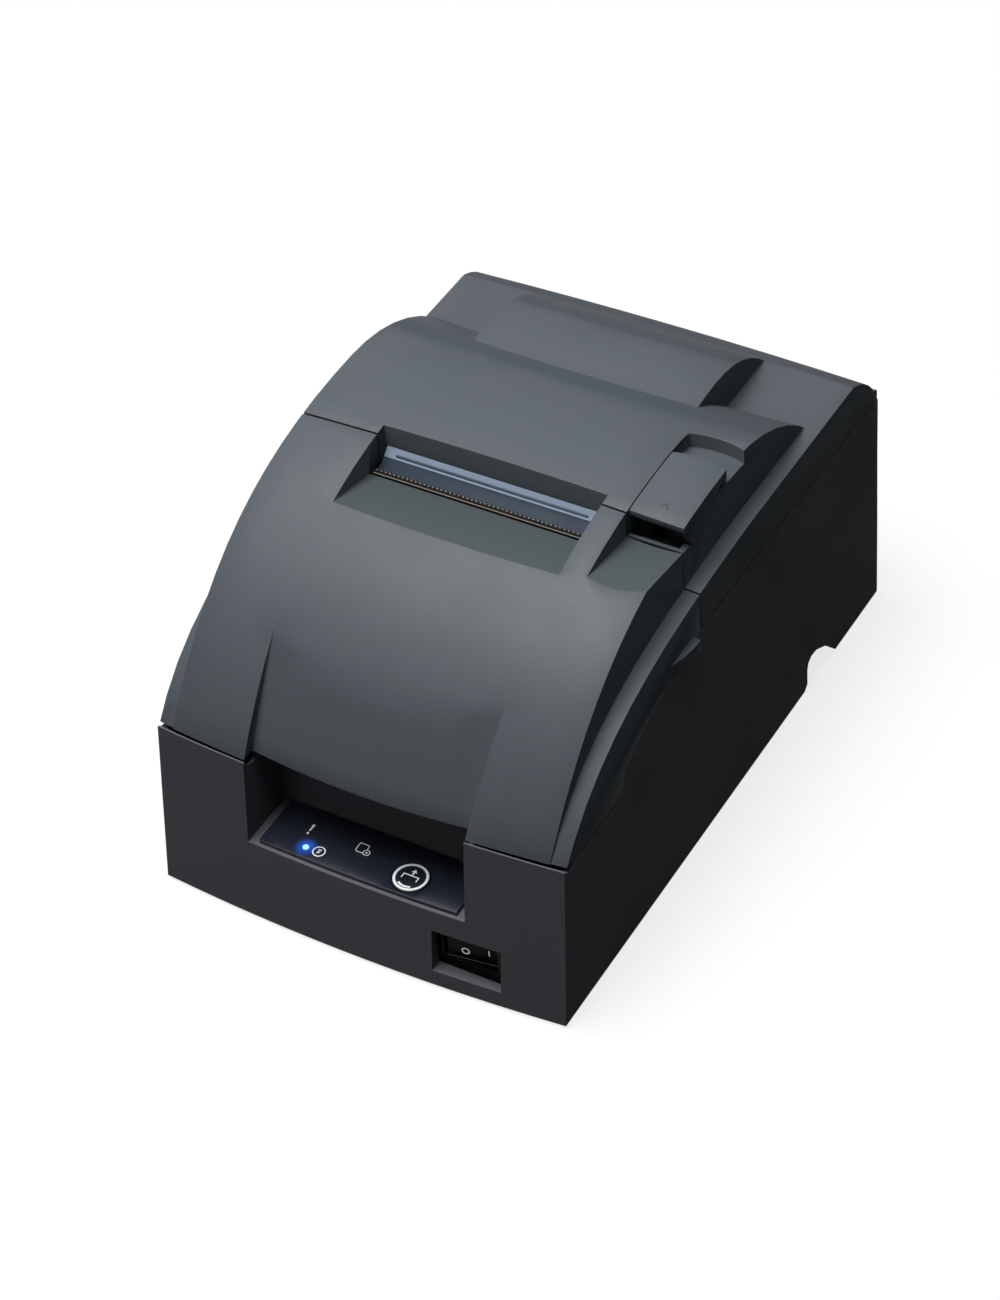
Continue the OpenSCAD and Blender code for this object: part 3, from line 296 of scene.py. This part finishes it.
materials = {
    # shells
    "case": shell_plastic("case_charcoal", (0.092, 0.094, 0.104)),
    "cover": shell_plastic("cover_charcoal", (0.069, 0.081, 0.091)),
    # painted shade: a duller copy of the cover for the floors of its recesses
    "hollow": shell_plastic("cover_recess_painted_shade", (0.066, 0.081, 0.085), sheen=0.03),
    # black plastic of the inside parts, also painted on the covers' seam faces as shade
    "inner": textured_plastic("inner_black_plastic_and_seam_shade", (0.022, 0.023, 0.025), 0.6, 0.02),
    # painted shade of the lever's engraved chevron
    "mark": textured_plastic("lever_chevron_groove_shade", (0.045, 0.05, 0.055), 0.6, 0.01, 0.05),
    # controls
    "film": lit_film("panel_film", (0.014, 0.017, 0.028), (*LAMP_AT, PANEL_TOP)),
    "button": smooth_plastic("button_black", (0.010, 0.012, 0.020), 0.3, 0.3),
    "switch": smooth_plastic("switch_black", (0.0035, 0.0035, 0.004), 0.25, 0.02),
    # painted glint on the rocker's lower edge, glowing though it is no lamp
    "edge": glowing("rocker_edge_painted_glint", (0.62, 0.47, 0.28), 0.3),
    # printed O and I, made to glow a little as painted light
    "ink": glowing("rocker_ink_painted_glow", (0.62, 0.62, 0.60), 0.25),
    "lamp": glowing("lamp_blue", (0.26, 0.66, 1.0), 1.05),
    # white print, also used for the painted glint on the feed button
    "print": smooth_plastic("printed_white_and_button_glint", (0.84, 0.85, 0.86), 0.5, 0.2),
    # paper exit
    "plate": smooth_plastic("exit_plate_dark", (0.030, 0.042, 0.058), 0.42, 0.06),
    # painted highlight on the rising band round the paper slot
    "band": smooth_plastic("exit_plate_band_painted_highlight", (0.19, 0.24, 0.32), 0.42, 0.1),
    "bar": smooth_plastic("tear_bar_dark", (0.012, 0.011, 0.010), 0.4, 0.05),
    "teeth": smooth_plastic("tear_bar_teeth", (0.30, 0.255, 0.21), 0.4, 0.1),
    # metals
    "steel": rolled_steel("zinc_steel", (0.36, 0.37, 0.38), 0.38),
    "can": rolled_steel("motor_can", (0.34, 0.35, 0.36), 0.4, "z"),
    "shaft": turned_metal("ground_shaft", (0.45, 0.45, 0.46), 0.22),
    "alloy": turned_metal("head_casting", (0.36, 0.37, 0.39), 0.45),
    "brass": turned_metal("brass_strip", (0.50, 0.40, 0.22), 0.35),
    "gold": turned_metal("contact_gold", (0.85, 0.62, 0.25), 0.3),
    "tin": turned_metal("tinned_legs", (0.62, 0.62, 0.60), 0.35),
    # the rest of the inside
    "rubber": moulded_rubber("rubber_black", (0.018, 0.018, 0.018)),
    "roller": moulded_rubber("roller_rubber", (0.03, 0.03, 0.032), 0.7),
    "nylon": smooth_plastic("gear_nylon", (0.60, 0.60, 0.55), 0.45, 0.3),
    "board": circuit_board("board_mask", (0.008, 0.075, 0.035)),
    "chip": smooth_plastic("chip_black", (0.014, 0.014, 0.016), 0.45),
    "ribbon": inked_cloth("ribbon_inked", (0.016, 0.012, 0.022)),
}

NODE_FINISH = {
    "case": ["lower_case"],
    "cover": ["front_cover", "roll_cover", "release_lever"],
    "rubber": ["rubber_feet", "carriage_belt"],
    "roller": ["feed_roller", "pinch_roller"],
    "film": ["control_panel"],
    "button": ["feed_button"],
    "switch": ["power_switch_housing", "power_rocker", "drawer_socket", "power_socket"],
    "lamp": ["status_lenses"],
    "board": ["main_board", "button_board"],
    "chip": ["board_components"],
    "steel": [
        "left_frame", "right_frame", "frame_base", "front_rail", "platen", "paper_guide",
        "cutter_base", "cutter_blade", "exit_frame", "cover_bracket", "fixed_blade",
        "data_connector", "latch_hook", "frame_screws",
    ],
    "shaft": [
        "carriage_shaft", "front_hinge_pins", "roll_hinge_pins", "lever_pin", "latch_stud",
        "drive_pulley", "idler_pulley",
    ],
    "plate": ["exit_plate"],
    "brass": ["roller_bushes", "motor_pinion"],
    "bar": ["tear_bar"],
    "can": ["carriage_motor", "feed_motor", "cutter_motor"],
    "alloy": ["print_head"],
    "nylon": ["roller_gear", "idler_gear"],
    "inner": [
        "print_carriage", "ribbon_cassette", "ribbon_knob", "paper_bin", "near_end_sensor",
    ],
    "ribbon": ["ribbon_band"],
}

for finish, names in NODE_FINISH.items():
    for name in names:
        for slot in nodes[name].material_slots:
            slot.material = materials[finish]


# ------------------------------------------------------------------ making pieces
def linked(name, mesh):
    obj = bpy.data.objects.new(name, mesh)
    bpy.context.scene.collection.objects.link(obj)
    return obj


def finished_mesh(work, name, looks):
    """The mesh of a bmesh that isn't needed any more, with its materials."""
    mesh = bpy.data.meshes.new(name)
    work.to_mesh(mesh)
    work.free()
    for material in looks:
        mesh.materials.append(material)
    return mesh


def new_piece(name, mesh, body):
    obj = linked(name, mesh)
    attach(obj, body)


def bake(obj):
    """Turns the modifiers' result into the object's own plain mesh."""
    graph = bpy.context.evaluated_depsgraph_get()
    mesh = bpy.data.meshes.new_from_object(obj.evaluated_get(graph))
    obj.modifiers.clear()
    obj.data = mesh


def surface(mesh):
    """The mesh as something that a ray can be cast at."""
    corners = [v.co for v in mesh.vertices]
    return BVHTree.FromPolygons(corners, [face.vertices for face in mesh.polygons])


DOWN = Vector((0, 0, -1))
SKY = 150


def below(tree, x, y):
    """The point under (x, y), all in mm but the result, or None."""
    return tree.ray_cast(Vector((x, y, SKY)) * MM, DOWN)[0]


# ------------------------------------------------------------------ dressed shells
SAME_POINT_MM = 0.004
THIN_MM = 0.003
SAME_PLANE = math.radians(0.4)


def dressed(node, body, finish, edge_mm, segments=2, angle=32, flat=False):
    """A node's own shape with merged points, rounded edges and smooth faces."""
    work = bmesh.new()
    work.from_mesh(nodes[node].data)
    bmesh.ops.remove_doubles(work, verts=work.verts, dist=SAME_POINT_MM * MM)
    bmesh.ops.dissolve_degenerate(work, edges=work.edges, dist=THIN_MM * MM)
    bmesh.ops.dissolve_limit(work, angle_limit=SAME_PLANE, verts=work.verts, edges=work.edges)
    name = "dressed_" + node
    obj = linked(name, finished_mesh(work, name, [materials[finish]]))
    bevel = obj.modifiers.new("edges", "BEVEL")
    bevel.width = edge_mm * MM
    bevel.segments = segments
    bevel.limit_method = "ANGLE"
    bevel.angle_limit = math.radians(angle)
    bevel.use_clamp_overlap = True
    bevel.miter_outer = "MITER_ARC"
    bake(obj)
    for face in obj.data.polygons:
        face.use_smooth = True
    obj.data.set_sharp_from_angle(angle=math.radians(angle))
    if flat:
        weighted = obj.modifiers.new("shading", "WEIGHTED_NORMAL")
        weighted.keep_sharp = True
        bake(obj)
    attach(obj, body)
    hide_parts(node)
    return obj


front_cover = dressed("front_cover", "front_cover_body", "cover", 0.35)
roll_cover = dressed("roll_cover", "roll_cover_body", "cover", 0.35, angle=24)
lever = dressed("release_lever", "lever_body", "cover", 0.35)
dressed("lower_case", "base", "case", 0.4, flat=True)
rocker = dressed("power_rocker", "rocker_body", "switch", 0.5, segments=3)
dressed("power_switch_housing", "base", "switch", 0.25)
dressed("control_panel", "base", "film", 0.2)
dressed("feed_button", "button_body", "button", 0.4, segments=3)
exit_plate = dressed("exit_plate", "base", "plate", 0.12)


def paint_exit_band_highlight():
    """The exit plate is dark below, and a painted highlight makes the rising band round the paper
    slot lighter.
    """
    mesh = exit_plate.data
    mesh.materials.append(materials["band"])
    work = bmesh.new()
    work.from_mesh(mesh)
    bmesh.ops.bisect_plane(
        work, geom=work.verts[:] + work.edges[:] + work.faces[:],
        plane_co=(0, BAND_FRONT_Y * MM, 0), plane_no=(0, 1, 0),
    )
    for face in work.faces:
        middle = face.calc_center_median()
        in_lit_band = middle.y > BAND_FRONT_Y * MM and middle.z > BAND_LOW_Z * MM
        face.material_index = int(in_lit_band)
    work.to_mesh(mesh)
    work.free()


LOOKS_FORWARD = -0.1


def paint_recess_shade(cover, near, far, depth, level_only):
    """Painted shade: the floors of the cut-outs in the hump get a duller copy of the cover material,
    without its sheen.
    """
    mesh = cover.data
    tree = surface(mesh)
    mesh.materials.append(materials["hollow"])
    for face in mesh.polygons:
        x, y, z = face.center / MM
        in_plan = near < y < far and (abs(x) < EXIT_HALF_X or SCOOP_X[0] < x < SCOOP_X[1])
        if not in_plan or (level_only and face.normal.y <= LOOKS_FORWARD):
            continue
        hump = below(tree, HUMP_CLEAR_X, y)
        if hump and z < hump.z / MM - depth:
            face.material_index = 1


SEAM_REACH_MM = 2.5
SEAM_LOW_Z = 75
SEAM_FACING = 0.75


def paint_seam_shade(cover, sign):
    """Painted shade: the faces that meet across the seam between the covers lie in the dark, so they
    get the near-black inner plastic.
    """
    mesh = cover.data
    mesh.materials.append(materials["inner"])
    end = max(v.co.y * sign for v in mesh.vertices)
    for face in mesh.polygons:
        near = face.center.y * sign > end - SEAM_REACH_MM * MM
        facing = face.normal.y * sign > SEAM_FACING
        if near and facing and face.center.z > SEAM_LOW_Z * MM:
            face.material_index = 2


FOOT_FORWARD = -0.3
FOOT_DOWN = (-0.95, -0.15)


def paint_rocker_glint():
    """Painted glint: the rocker's lower front edge is a thin warm line that gives off light."""
    mesh = rocker.data
    mesh.materials.append(materials["edge"])
    for face in mesh.polygons:
        at_foot = ROCKER_FOOT[0] < face.center.z / MM < ROCKER_FOOT[1]
        slants = FOOT_DOWN[0] < face.normal.z < FOOT_DOWN[1]
        if at_foot and slants and face.normal.y < FOOT_FORWARD:
            face.material_index = 1


paint_exit_band_highlight()
# painted shade on the recess floors of both covers
paint_recess_shade(front_cover, -52, -12, depth=0.6, level_only=True)
paint_recess_shade(roll_cover, -14, 17, depth=4, level_only=False)
# painted shade along the seam between the covers
paint_seam_shade(front_cover, 1)
paint_seam_shade(roll_cover, -1)
# painted glint on the rocker's edge
paint_rocker_glint()


# ------------------------------------------------------------------ printed marks, painted glint and painted groove shade
def ring_points(center, radius, count, start=0.0, sweep=360.0):
    """Points on a ring, or on an arc of it that keeps both its ends."""
    steps = count if sweep >= 360 else count - 1
    angles = [math.radians(start + sweep * i / steps) for i in range(count)]
    return [
        (center[0] + radius * math.cos(a), center[1] + radius * math.sin(a)) for a in angles
    ]


class Marks:
    """Thin closed solids of ink, or of painted glint and shade, laid on a surface by a function of
    (point, height).
    """

    def __init__(self, place, low=0.005, high=0.04):
        self.work = bmesh.new()
        self.place = place
        self.low = low
        self.high = high
        self.at = Vector((0, 0))

    def corner(self, point, height):
        return self.work.verts.new(self.place(Vector(point) + self.at, height))

    def line(self, points, width, closed=False):
        """A flat band of even width along a line."""
        count = len(points)
        path = [Vector(p) for p in points]
        rails = []
        for i in range(count):
            before = path[i] - path[i - 1] if closed or i > 0 else path[1] - path[0]
            after = path[(i + 1) % count] - path[i] if closed or i < count - 1 else before
            before, after = before.normalized(), after.normalized()
            turn = (before + after).normalized()
            side = Vector((-turn.y, turn.x))
            square = Vector((-before.y, before.x))
            reach = width / 2 / max(0.5, abs(side.dot(square)))
            rails.append([
                self.corner(path[i] + side * reach * s, z)
                for s, z in ((1, self.low), (1, self.high), (-1, self.high), (-1, self.low))
            ])
        for i in range(count if closed else count - 1):
            a, b = rails[i], rails[(i + 1) % count]
            for k in range(4):
                self.work.faces.new((a[k], a[(k + 1) % 4], b[(k + 1) % 4], b[k]))
        if not closed:
            self.work.faces.new(rails[0])
            self.work.faces.new(rails[-1])

    def ring(self, center, radius, width, count=40):
        self.line(ring_points(center, radius, count), width, closed=True)

    def patch(self, outline):
        """A flat filled outline."""
        prism(
            self.work,
            [self.corner(p, self.low) for p in outline],
            [self.corner(p, self.high) for p in outline],
        )

    def dot(self, center, radius, count):
        self.patch(ring_points(center, radius, count))

    def finish(self, name, body, finish, slot):
        bmesh.ops.recalc_face_normals(self.work, faces=self.work.faces)
        new_piece(name, finished_mesh(self.work, name, [materials[finish]]), body)


def prism(work, bottom, top):
    """Closes two rings of corners into a solid."""
    work.faces.new(bottom)
    work.faces.new(top)
    count = len(bottom)
    for i in range(count):
        j = (i + 1) % count
        work.faces.new((bottom[i], bottom[j], top[j], top[i]))


def flat_at(height):
    return lambda p, z: Vector((p.x, p.y, height + z)) * MM


def print_panel_marks():
    marks = Marks(flat_at(PANEL_TOP))
    # exclamation mark
    marks.at = Vector((-25.5, -106.0))
    marks.patch([(-0.5, 2.4), (0.5, 2.4), (0.22, -0.9), (-0.22, -0.9)])
    marks.dot((0, -2.0), 0.45, 16)
    # ring with a bolt, beside the lamp
    marks.at = Vector((-17.4, -113.9))
    marks.ring((0, 0), 2.15, 0.42)
    marks.line([(-0.7, 0.75), (0.5, 0.85), (-0.45, -0.2), (0.6, -0.15)], 0.34)
    marks.line([(0.6, -0.15), (-0.5, -1.0)], 0.3)
    # sheet of paper with its roll
    marks.at = Vector((-4.6, -106.1))
    sheet = [(0.9, -1.9), (-1.5, -1.9), (-2.1, -1.2), (-2.1, 2.1), (1.2, 2.1), (1.6, 1.7), (1.6, 0.1)]
    marks.line(sheet, 0.34)
    marks.ring((2.1, -1.2), 1.2, 0.32, 24)
    marks.dot((2.1, -1.2), 0.4, 12)
    marks.finish("panel_marks", "base", "print", "panel_film")


def draw_button_print_and_glint():
    """A ring round a tray with an arrow, and a painted glint: a bright arc at the ring's foot where
    the glossy button would catch the light.
    """
    marks = Marks(flat_at(PANEL_TOP + BUTTON_RISE))
    marks.at = Vector(BUTTON_AT)
    marks.ring((0, 0), 5.75, 0.95, 64)
    marks.line([(-3.0, -1.3), (-3.0, 0.7), (2.7, 0.7), (2.7, -1.3)], 0.42)
    marks.patch([(-0.25, 0.9), (0.25, 0.9), (0.25, 2.3), (-0.25, 2.3)])
    marks.patch([(-1.1, 2.3), (1.1, 2.3), (0, 3.7)])
    # painted glint, in the same white as the print
    marks.line(ring_points((0, 0), 4.55, 14, 232, 66), 0.75)
    marks.finish("button_print_and_glint", "button_body", "print", "panel_film")


def print_rocker_marks():
    """O and I printed on the two halves of the rocker's face, in ink that glows a little as painted
    light.
    """
    def on_face(p, z):
        ahead = ROCKER_PIVOT[1] - ROCKER_FACE_AHEAD + (p.x - ROCKER_PIVOT[0]) * ROCKER_TILT
        return Vector((p.x, ahead - z, p.y)) * MM

    marks = Marks(on_face, 0.01, 0.06)
    marks.ring((40.6, 16.4), 1.25, 0.55, 32)
    marks.patch([(48.9, 16.7), (49.35, 16.7), (49.35, 19.3), (48.9, 19.3)])
    marks.finish("rocker_marks", "rocker_body", "ink", "switch_black")


CHEVRON_TIP = (63.05, -5.6)
CHEVRON_LEFT = [(61.9, -8.4), (62.3, -7.4), (62.7, -6.4), CHEVRON_TIP]
CHEVRON_RIGHT = [CHEVRON_TIP, (63.5, -6.4), (64.0, -7.4), (64.5, -8.4)]


def paint_lever_groove_shade():
    """The small chevron on the release lever, lying on its crowned top, darker as painted shade in
    its engraved groove.
    """
    tree = surface(lever.data)
    marks = Marks(lambda p, z: below(tree, p.x, p.y) + Vector((0, 0, z * MM)), -0.02, 0.02)
    marks.line(CHEVRON_LEFT, 0.34)
    marks.line(CHEVRON_RIGHT, 0.34)
    marks.finish("lever_chevron_groove_shade", "lever_body", "mark", "cover_plastic")


print_panel_marks()
draw_button_print_and_glint()
print_rocker_marks()
paint_lever_groove_shade()


# ------------------------------------------------------------------ repeated details
def row_group():
    """Repeats the modified mesh along a straight line."""
    group = bpy.data.node_groups.new("row", "GeometryNodeTree")
    for name, kind in (
        ("Geometry", "NodeSocketGeometry"), ("Count", "NodeSocketInt"),
        ("Start", "NodeSocketVector"), ("Step", "NodeSocketVector"),
        ("Material", "NodeSocketMaterial"),
    ):
        group.interface.new_socket(name, in_out="INPUT", socket_type=kind)
    group.interface.new_socket("Geometry", in_out="OUTPUT", socket_type="NodeSocketGeometry")
    add = group.nodes.new
    source, result = add("NodeGroupInput"), add("NodeGroupOutput")
    line = add("GeometryNodeMeshLine")
    copies = add("GeometryNodeInstanceOnPoints")
    real = add("GeometryNodeRealizeInstances")
    look = add("GeometryNodeSetMaterial")
    for a, b in (
        (source.outputs["Count"], line.inputs["Count"]),
        (source.outputs["Start"], line.inputs["Start Location"]),
        (source.outputs["Step"], line.inputs["Offset"]),
        (line.outputs["Mesh"], copies.inputs["Points"]),
        (source.outputs["Geometry"], copies.inputs["Instance"]),
        (copies.outputs["Instances"], real.inputs["Geometry"]),
        (real.outputs["Geometry"], look.inputs["Geometry"]),
        (source.outputs["Material"], look.inputs["Material"]),
        (look.outputs["Geometry"], result.inputs["Geometry"]),
    ):
        group.links.new(a, b)
    return group


ROW = row_group()


def unit(outline, low, high, top_scale=1.0, along="z"):
    """One copy of a repeated detail: a prism, tapered toward its top, in mm."""
    work = bmesh.new()

    def corner(p, scale, end):
        across, up = p[0] * scale, p[1] * scale
        place = (across, up, end) if along == "z" else (across, end, up)
        return work.verts.new(Vector(place) * MM)

    bottom = [corner(p, 1.0, low) for p in outline]
    top = [corner(p, top_scale, high) for p in outline]
    prism(work, bottom, top)
    bmesh.ops.recalc_face_normals(work, faces=work.faces)
    return finished_mesh(work, "unit", [])


def rectangle(width, depth):
    w, d = width / 2, depth / 2
    return [(-w, -d), (w, -d), (w, d), (-w, d)]


def row(mesh, finish, count, start, step):
    """A baked row of copies, in mm, still without a body."""
    obj = linked("row", mesh)
    modifier = obj.modifiers.new("row", "NODES")
    modifier.node_group = ROW
    values = {
        "Count": count, "Start": [v * MM for v in start], "Step": [v * MM for v in step],
        "Material": materials[finish],
    }
    for item in ROW.interface.items_tree:
        if item.in_out == "INPUT" and item.name in values:
            modifier[item.identifier] = values[item.name]
    bake(obj)
    return obj


def joined(name, finish, rows):
    """Joins baked rows of one material into one piece that rides on the base."""
    work = bmesh.new()
    for obj in rows:
        work.from_mesh(obj.data)
        bpy.data.objects.remove(obj)
    for face in work.faces:
        face.material_index = 0
        face.smooth = False
    new_piece(name, finished_mesh(work, name, [materials[finish]]), "base")


TEETH = 50
TOOTH_PITCH = 1.7
TIPS_Y = -19.95
LINE_Y = -21.75
TEAR_BAR_TOP = 124.4


def tear_teeth():
    """Bright tips of the tear bar's teeth and the bright line before them."""
    tip = unit(rectangle(0.6, 0.5), 0.0, 0.16, top_scale=0.7)
    line = unit(rectangle(84.6, 0.25), 0.0, 0.08)
    first = -(TEETH - 1) / 2 * TOOTH_PITCH
    joined("tear_bar_teeth", "teeth", [
        row(tip, "teeth", TEETH, (first, TIPS_Y, TEAR_BAR_TOP), (TOOTH_PITCH, 0, 0)),
        row(line, "teeth", 1, (0, LINE_Y, TEAR_BAR_TOP), (0, 0, 0)),
    ])


# rows of legs round the three chips: how many, the first one's place, the step to the next
LEG_ROWS = (
    (26, (-16.9, -28.5), (0, 1)), (26, (12.9, -28.5), (0, 1)),
    (26, (-14.5, -30.9), (1, 0)), (26, (10.5, -1.1), (-1, 0)),
    (11, (20.75, -28.9), (1.25, 0)), (11, (20.75, -15.1), (1.25, 0)),
    (10, (-36.6, -24.9), (1.27, 0)), (10, (-36.6, -13.1), (1.27, 0)),
)
LEG_LONG, LEG_WIDE, LEG_HIGH = 1.7, 0.42, 0.55


def chip_legs():
    """Gull wing legs along the sides of the three chips."""
    rows = []
    for count, first, step in LEG_ROWS:
        out_along_x = step[0] == 0
        size = (LEG_LONG, LEG_WIDE) if out_along_x else (LEG_WIDE, LEG_LONG)
        leg = unit(rectangle(*size), 0, LEG_HIGH, top_scale=0.8)
        rows.append(row(leg, "tin", count, (*first, BOARD_TOP), (*step, 0)))
    joined("chip_legs", "tin", rows)


BELT_Z = 58
BELT_INNER = 6.19
BELT_Y = (-65.9, -62.1)
BELT_TEETH = 37
BELT_PITCH = 2


def belt_teeth():
    """Moulded teeth on the inner side of the belt's two straight runs."""
    tooth = [(-0.55, 0), (0.55, 0), (0.3, -0.22), (-0.3, -0.22)]
    first = -(BELT_TEETH - 1) / 2 * BELT_PITCH
    rows = []
    for side in (1, -1):
        shape = unit([(x, z * side) for x, z in tooth], *BELT_Y, along="y")
        start = (first, 0, BELT_Z + BELT_INNER * side)
        rows.append(row(shape, "rubber", BELT_TEETH, start, (BELT_PITCH, 0, 0)))
    joined("belt_teeth", "rubber", rows)


def socket_contacts():
    """Gold contacts in the data connector and in the drawer socket."""
    strip = unit(rectangle(0.55, 7.6), 0, 0.1)
    spring = unit(rectangle(0.5, 8), 0, 0.35)
    joined("socket_contacts", "gold", [
        row(strip, "gold", 4, (-17.25, 57, BOARD_TOP + 7.4), (1.5, 0, 0)),
        row(spring, "gold", 6, (8.95, 55, BOARD_TOP + 2), (1.02, 0, 0)),
    ])


CASSETTE_TOP = 101


def cassette_ribs():
    """Grip ribs on the ribbon cassette's lid, left and right."""
    rib = unit(rectangle(0.9, 12), 0, 0.45, top_scale=0.75)
    joined("cassette_ribs", "inner", [
        row(rib, "inner", count, (first, -44, CASSETTE_TOP), (2, 0, 0))
        for count, first in ((9, 30), (5, -56))
    ])


tear_teeth()
chip_legs()
belt_teeth()
socket_contacts()
cassette_ribs()


# ------------------------------------------------------------------ studio
def area_light(name, place, target, size, watts):
    data = bpy.data.lights.new(name, "AREA")
    data.shape = "RECTANGLE"
    data.size, data.size_y = size
    data.energy = watts
    light = bpy.data.objects.new(name, data)
    light.location = place
    aim = (Vector(target) - Vector(place)).to_track_quat("-Z", "Y")
    light.rotation_euler = aim.to_euler()
    bpy.context.scene.collection.objects.link(light)


def is_seen(tree):
    """1 for rays from the camera, and for rays seen in gloss or glass."""
    path = tree.nodes.new("ShaderNodeLightPath")
    total = path.outputs["Is Camera Ray"]
    for name in ("Is Glossy Ray", "Is Transmission Ray"):
        either = add_node(tree, "ShaderNodeMath", operation="MAXIMUM")
        tree.links.new(total, either.inputs[0])
        tree.links.new(path.outputs[name], either.inputs[1])
        total = either.outputs[0]
    return total


def mixed(tree, factor, first, second):
    """A mix of two shaders."""
    mix = tree.nodes.new("ShaderNodeMixShader")
    tree.links.new(factor, mix.inputs["Fac"])
    tree.links.new(first, mix.inputs[1])
    tree.links.new(second, mix.inputs[2])
    return mix.outputs[0]


WHITE = (1, 1, 1, 1)
FILL_LIGHT = (0.9, 0.95, 1, 1)
FILL_STRENGTH = 0.055


def light_world():
    """White to look at, and a weak fill as a light."""
    world = bpy.data.worlds.new("studio")
    bpy.context.scene.world = world
    world.use_nodes = True
    tree = world.node_tree
    tree.nodes.clear()
    seen = add_node(tree, "ShaderNodeBackground", Color=WHITE, Strength=1.0)
    fill = add_node(tree, "ShaderNodeBackground", Color=FILL_LIGHT, Strength=FILL_STRENGTH)
    out = tree.nodes.new("ShaderNodeOutputWorld")
    both = mixed(tree, is_seen(tree), fill.outputs[0], seen.outputs[0])
    tree.links.new(both, out.inputs["Surface"])


FLOOR_REACH = 6
SHADOW_NEAR, SHADOW_FAR = 0.12, 0.42
GLOW_NEAR, GLOW_FAR = 0.78, 1.0
FLOOR_WHITE = (0.97, 0.97, 0.97, 1)
FLOOR_DULL = (0.05, 0.05, 0.05, 1)


def floor_material():
    """White all over: lit by the lamps near the object, by itself further out."""
    material = bpy.data.materials.new("floor_white")
    material.use_nodes = True
    tree = material.node_tree
    shader = tree.nodes["Principled BSDF"]
    shader.inputs["Base Color"].default_value = FLOOR_WHITE
    shader.inputs["Roughness"].default_value = 1
    shader.inputs["Specular IOR Level"].default_value = 0
    coords = tree.nodes.new("ShaderNodeTexCoord")
    far = add_node(tree, "ShaderNodeVectorMath", operation="LENGTH")
    tree.links.new(coords.outputs["Object"], far.inputs[0])
    share = tree.nodes.new("ShaderNodeMapRange")
    share.inputs["From Min"].default_value = SHADOW_NEAR
    share.inputs["From Max"].default_value = SHADOW_FAR
    share.inputs["To Min"].default_value = GLOW_NEAR
    share.inputs["To Max"].default_value = GLOW_FAR
    tree.links.new(far.outputs["Value"], share.inputs["Value"])
    glow = add_node(tree, "ShaderNodeEmission", Color=WHITE, Strength=1.0)
    white = mixed(tree, share.outputs["Result"], shader.outputs[0], glow.outputs[0])
    dull = add_node(tree, "ShaderNodeBsdfDiffuse", Color=FLOOR_DULL)
    shown = mixed(tree, is_seen(tree), dull.outputs[0], white)
    tree.links.new(shown, tree.nodes["Material Output"].inputs["Surface"])
    return material


def lay_floor():
    mesh = bpy.data.meshes.new("floor")
    r = FLOOR_REACH
    mesh.from_pydata([(-r, -r, 0), (r, -r, 0), (r, r, 0), (-r, r, 0)], [], [(0, 1, 2, 3)])
    mesh.materials.append(floor_material())
    linked("floor", mesh)


light_world()
lay_floor()
area_light("overhead", (-0.20, -0.18, 1.4), (0, 0, 0.1), (1.0, 0.8), watts=27.5)
area_light("front_left", (-0.6, -1.8, 0.45), (0, 0, 0.05), (0.8, 0.8), watts=1.8)
bpy.context.scene.view_settings.view_transform = "Standard"
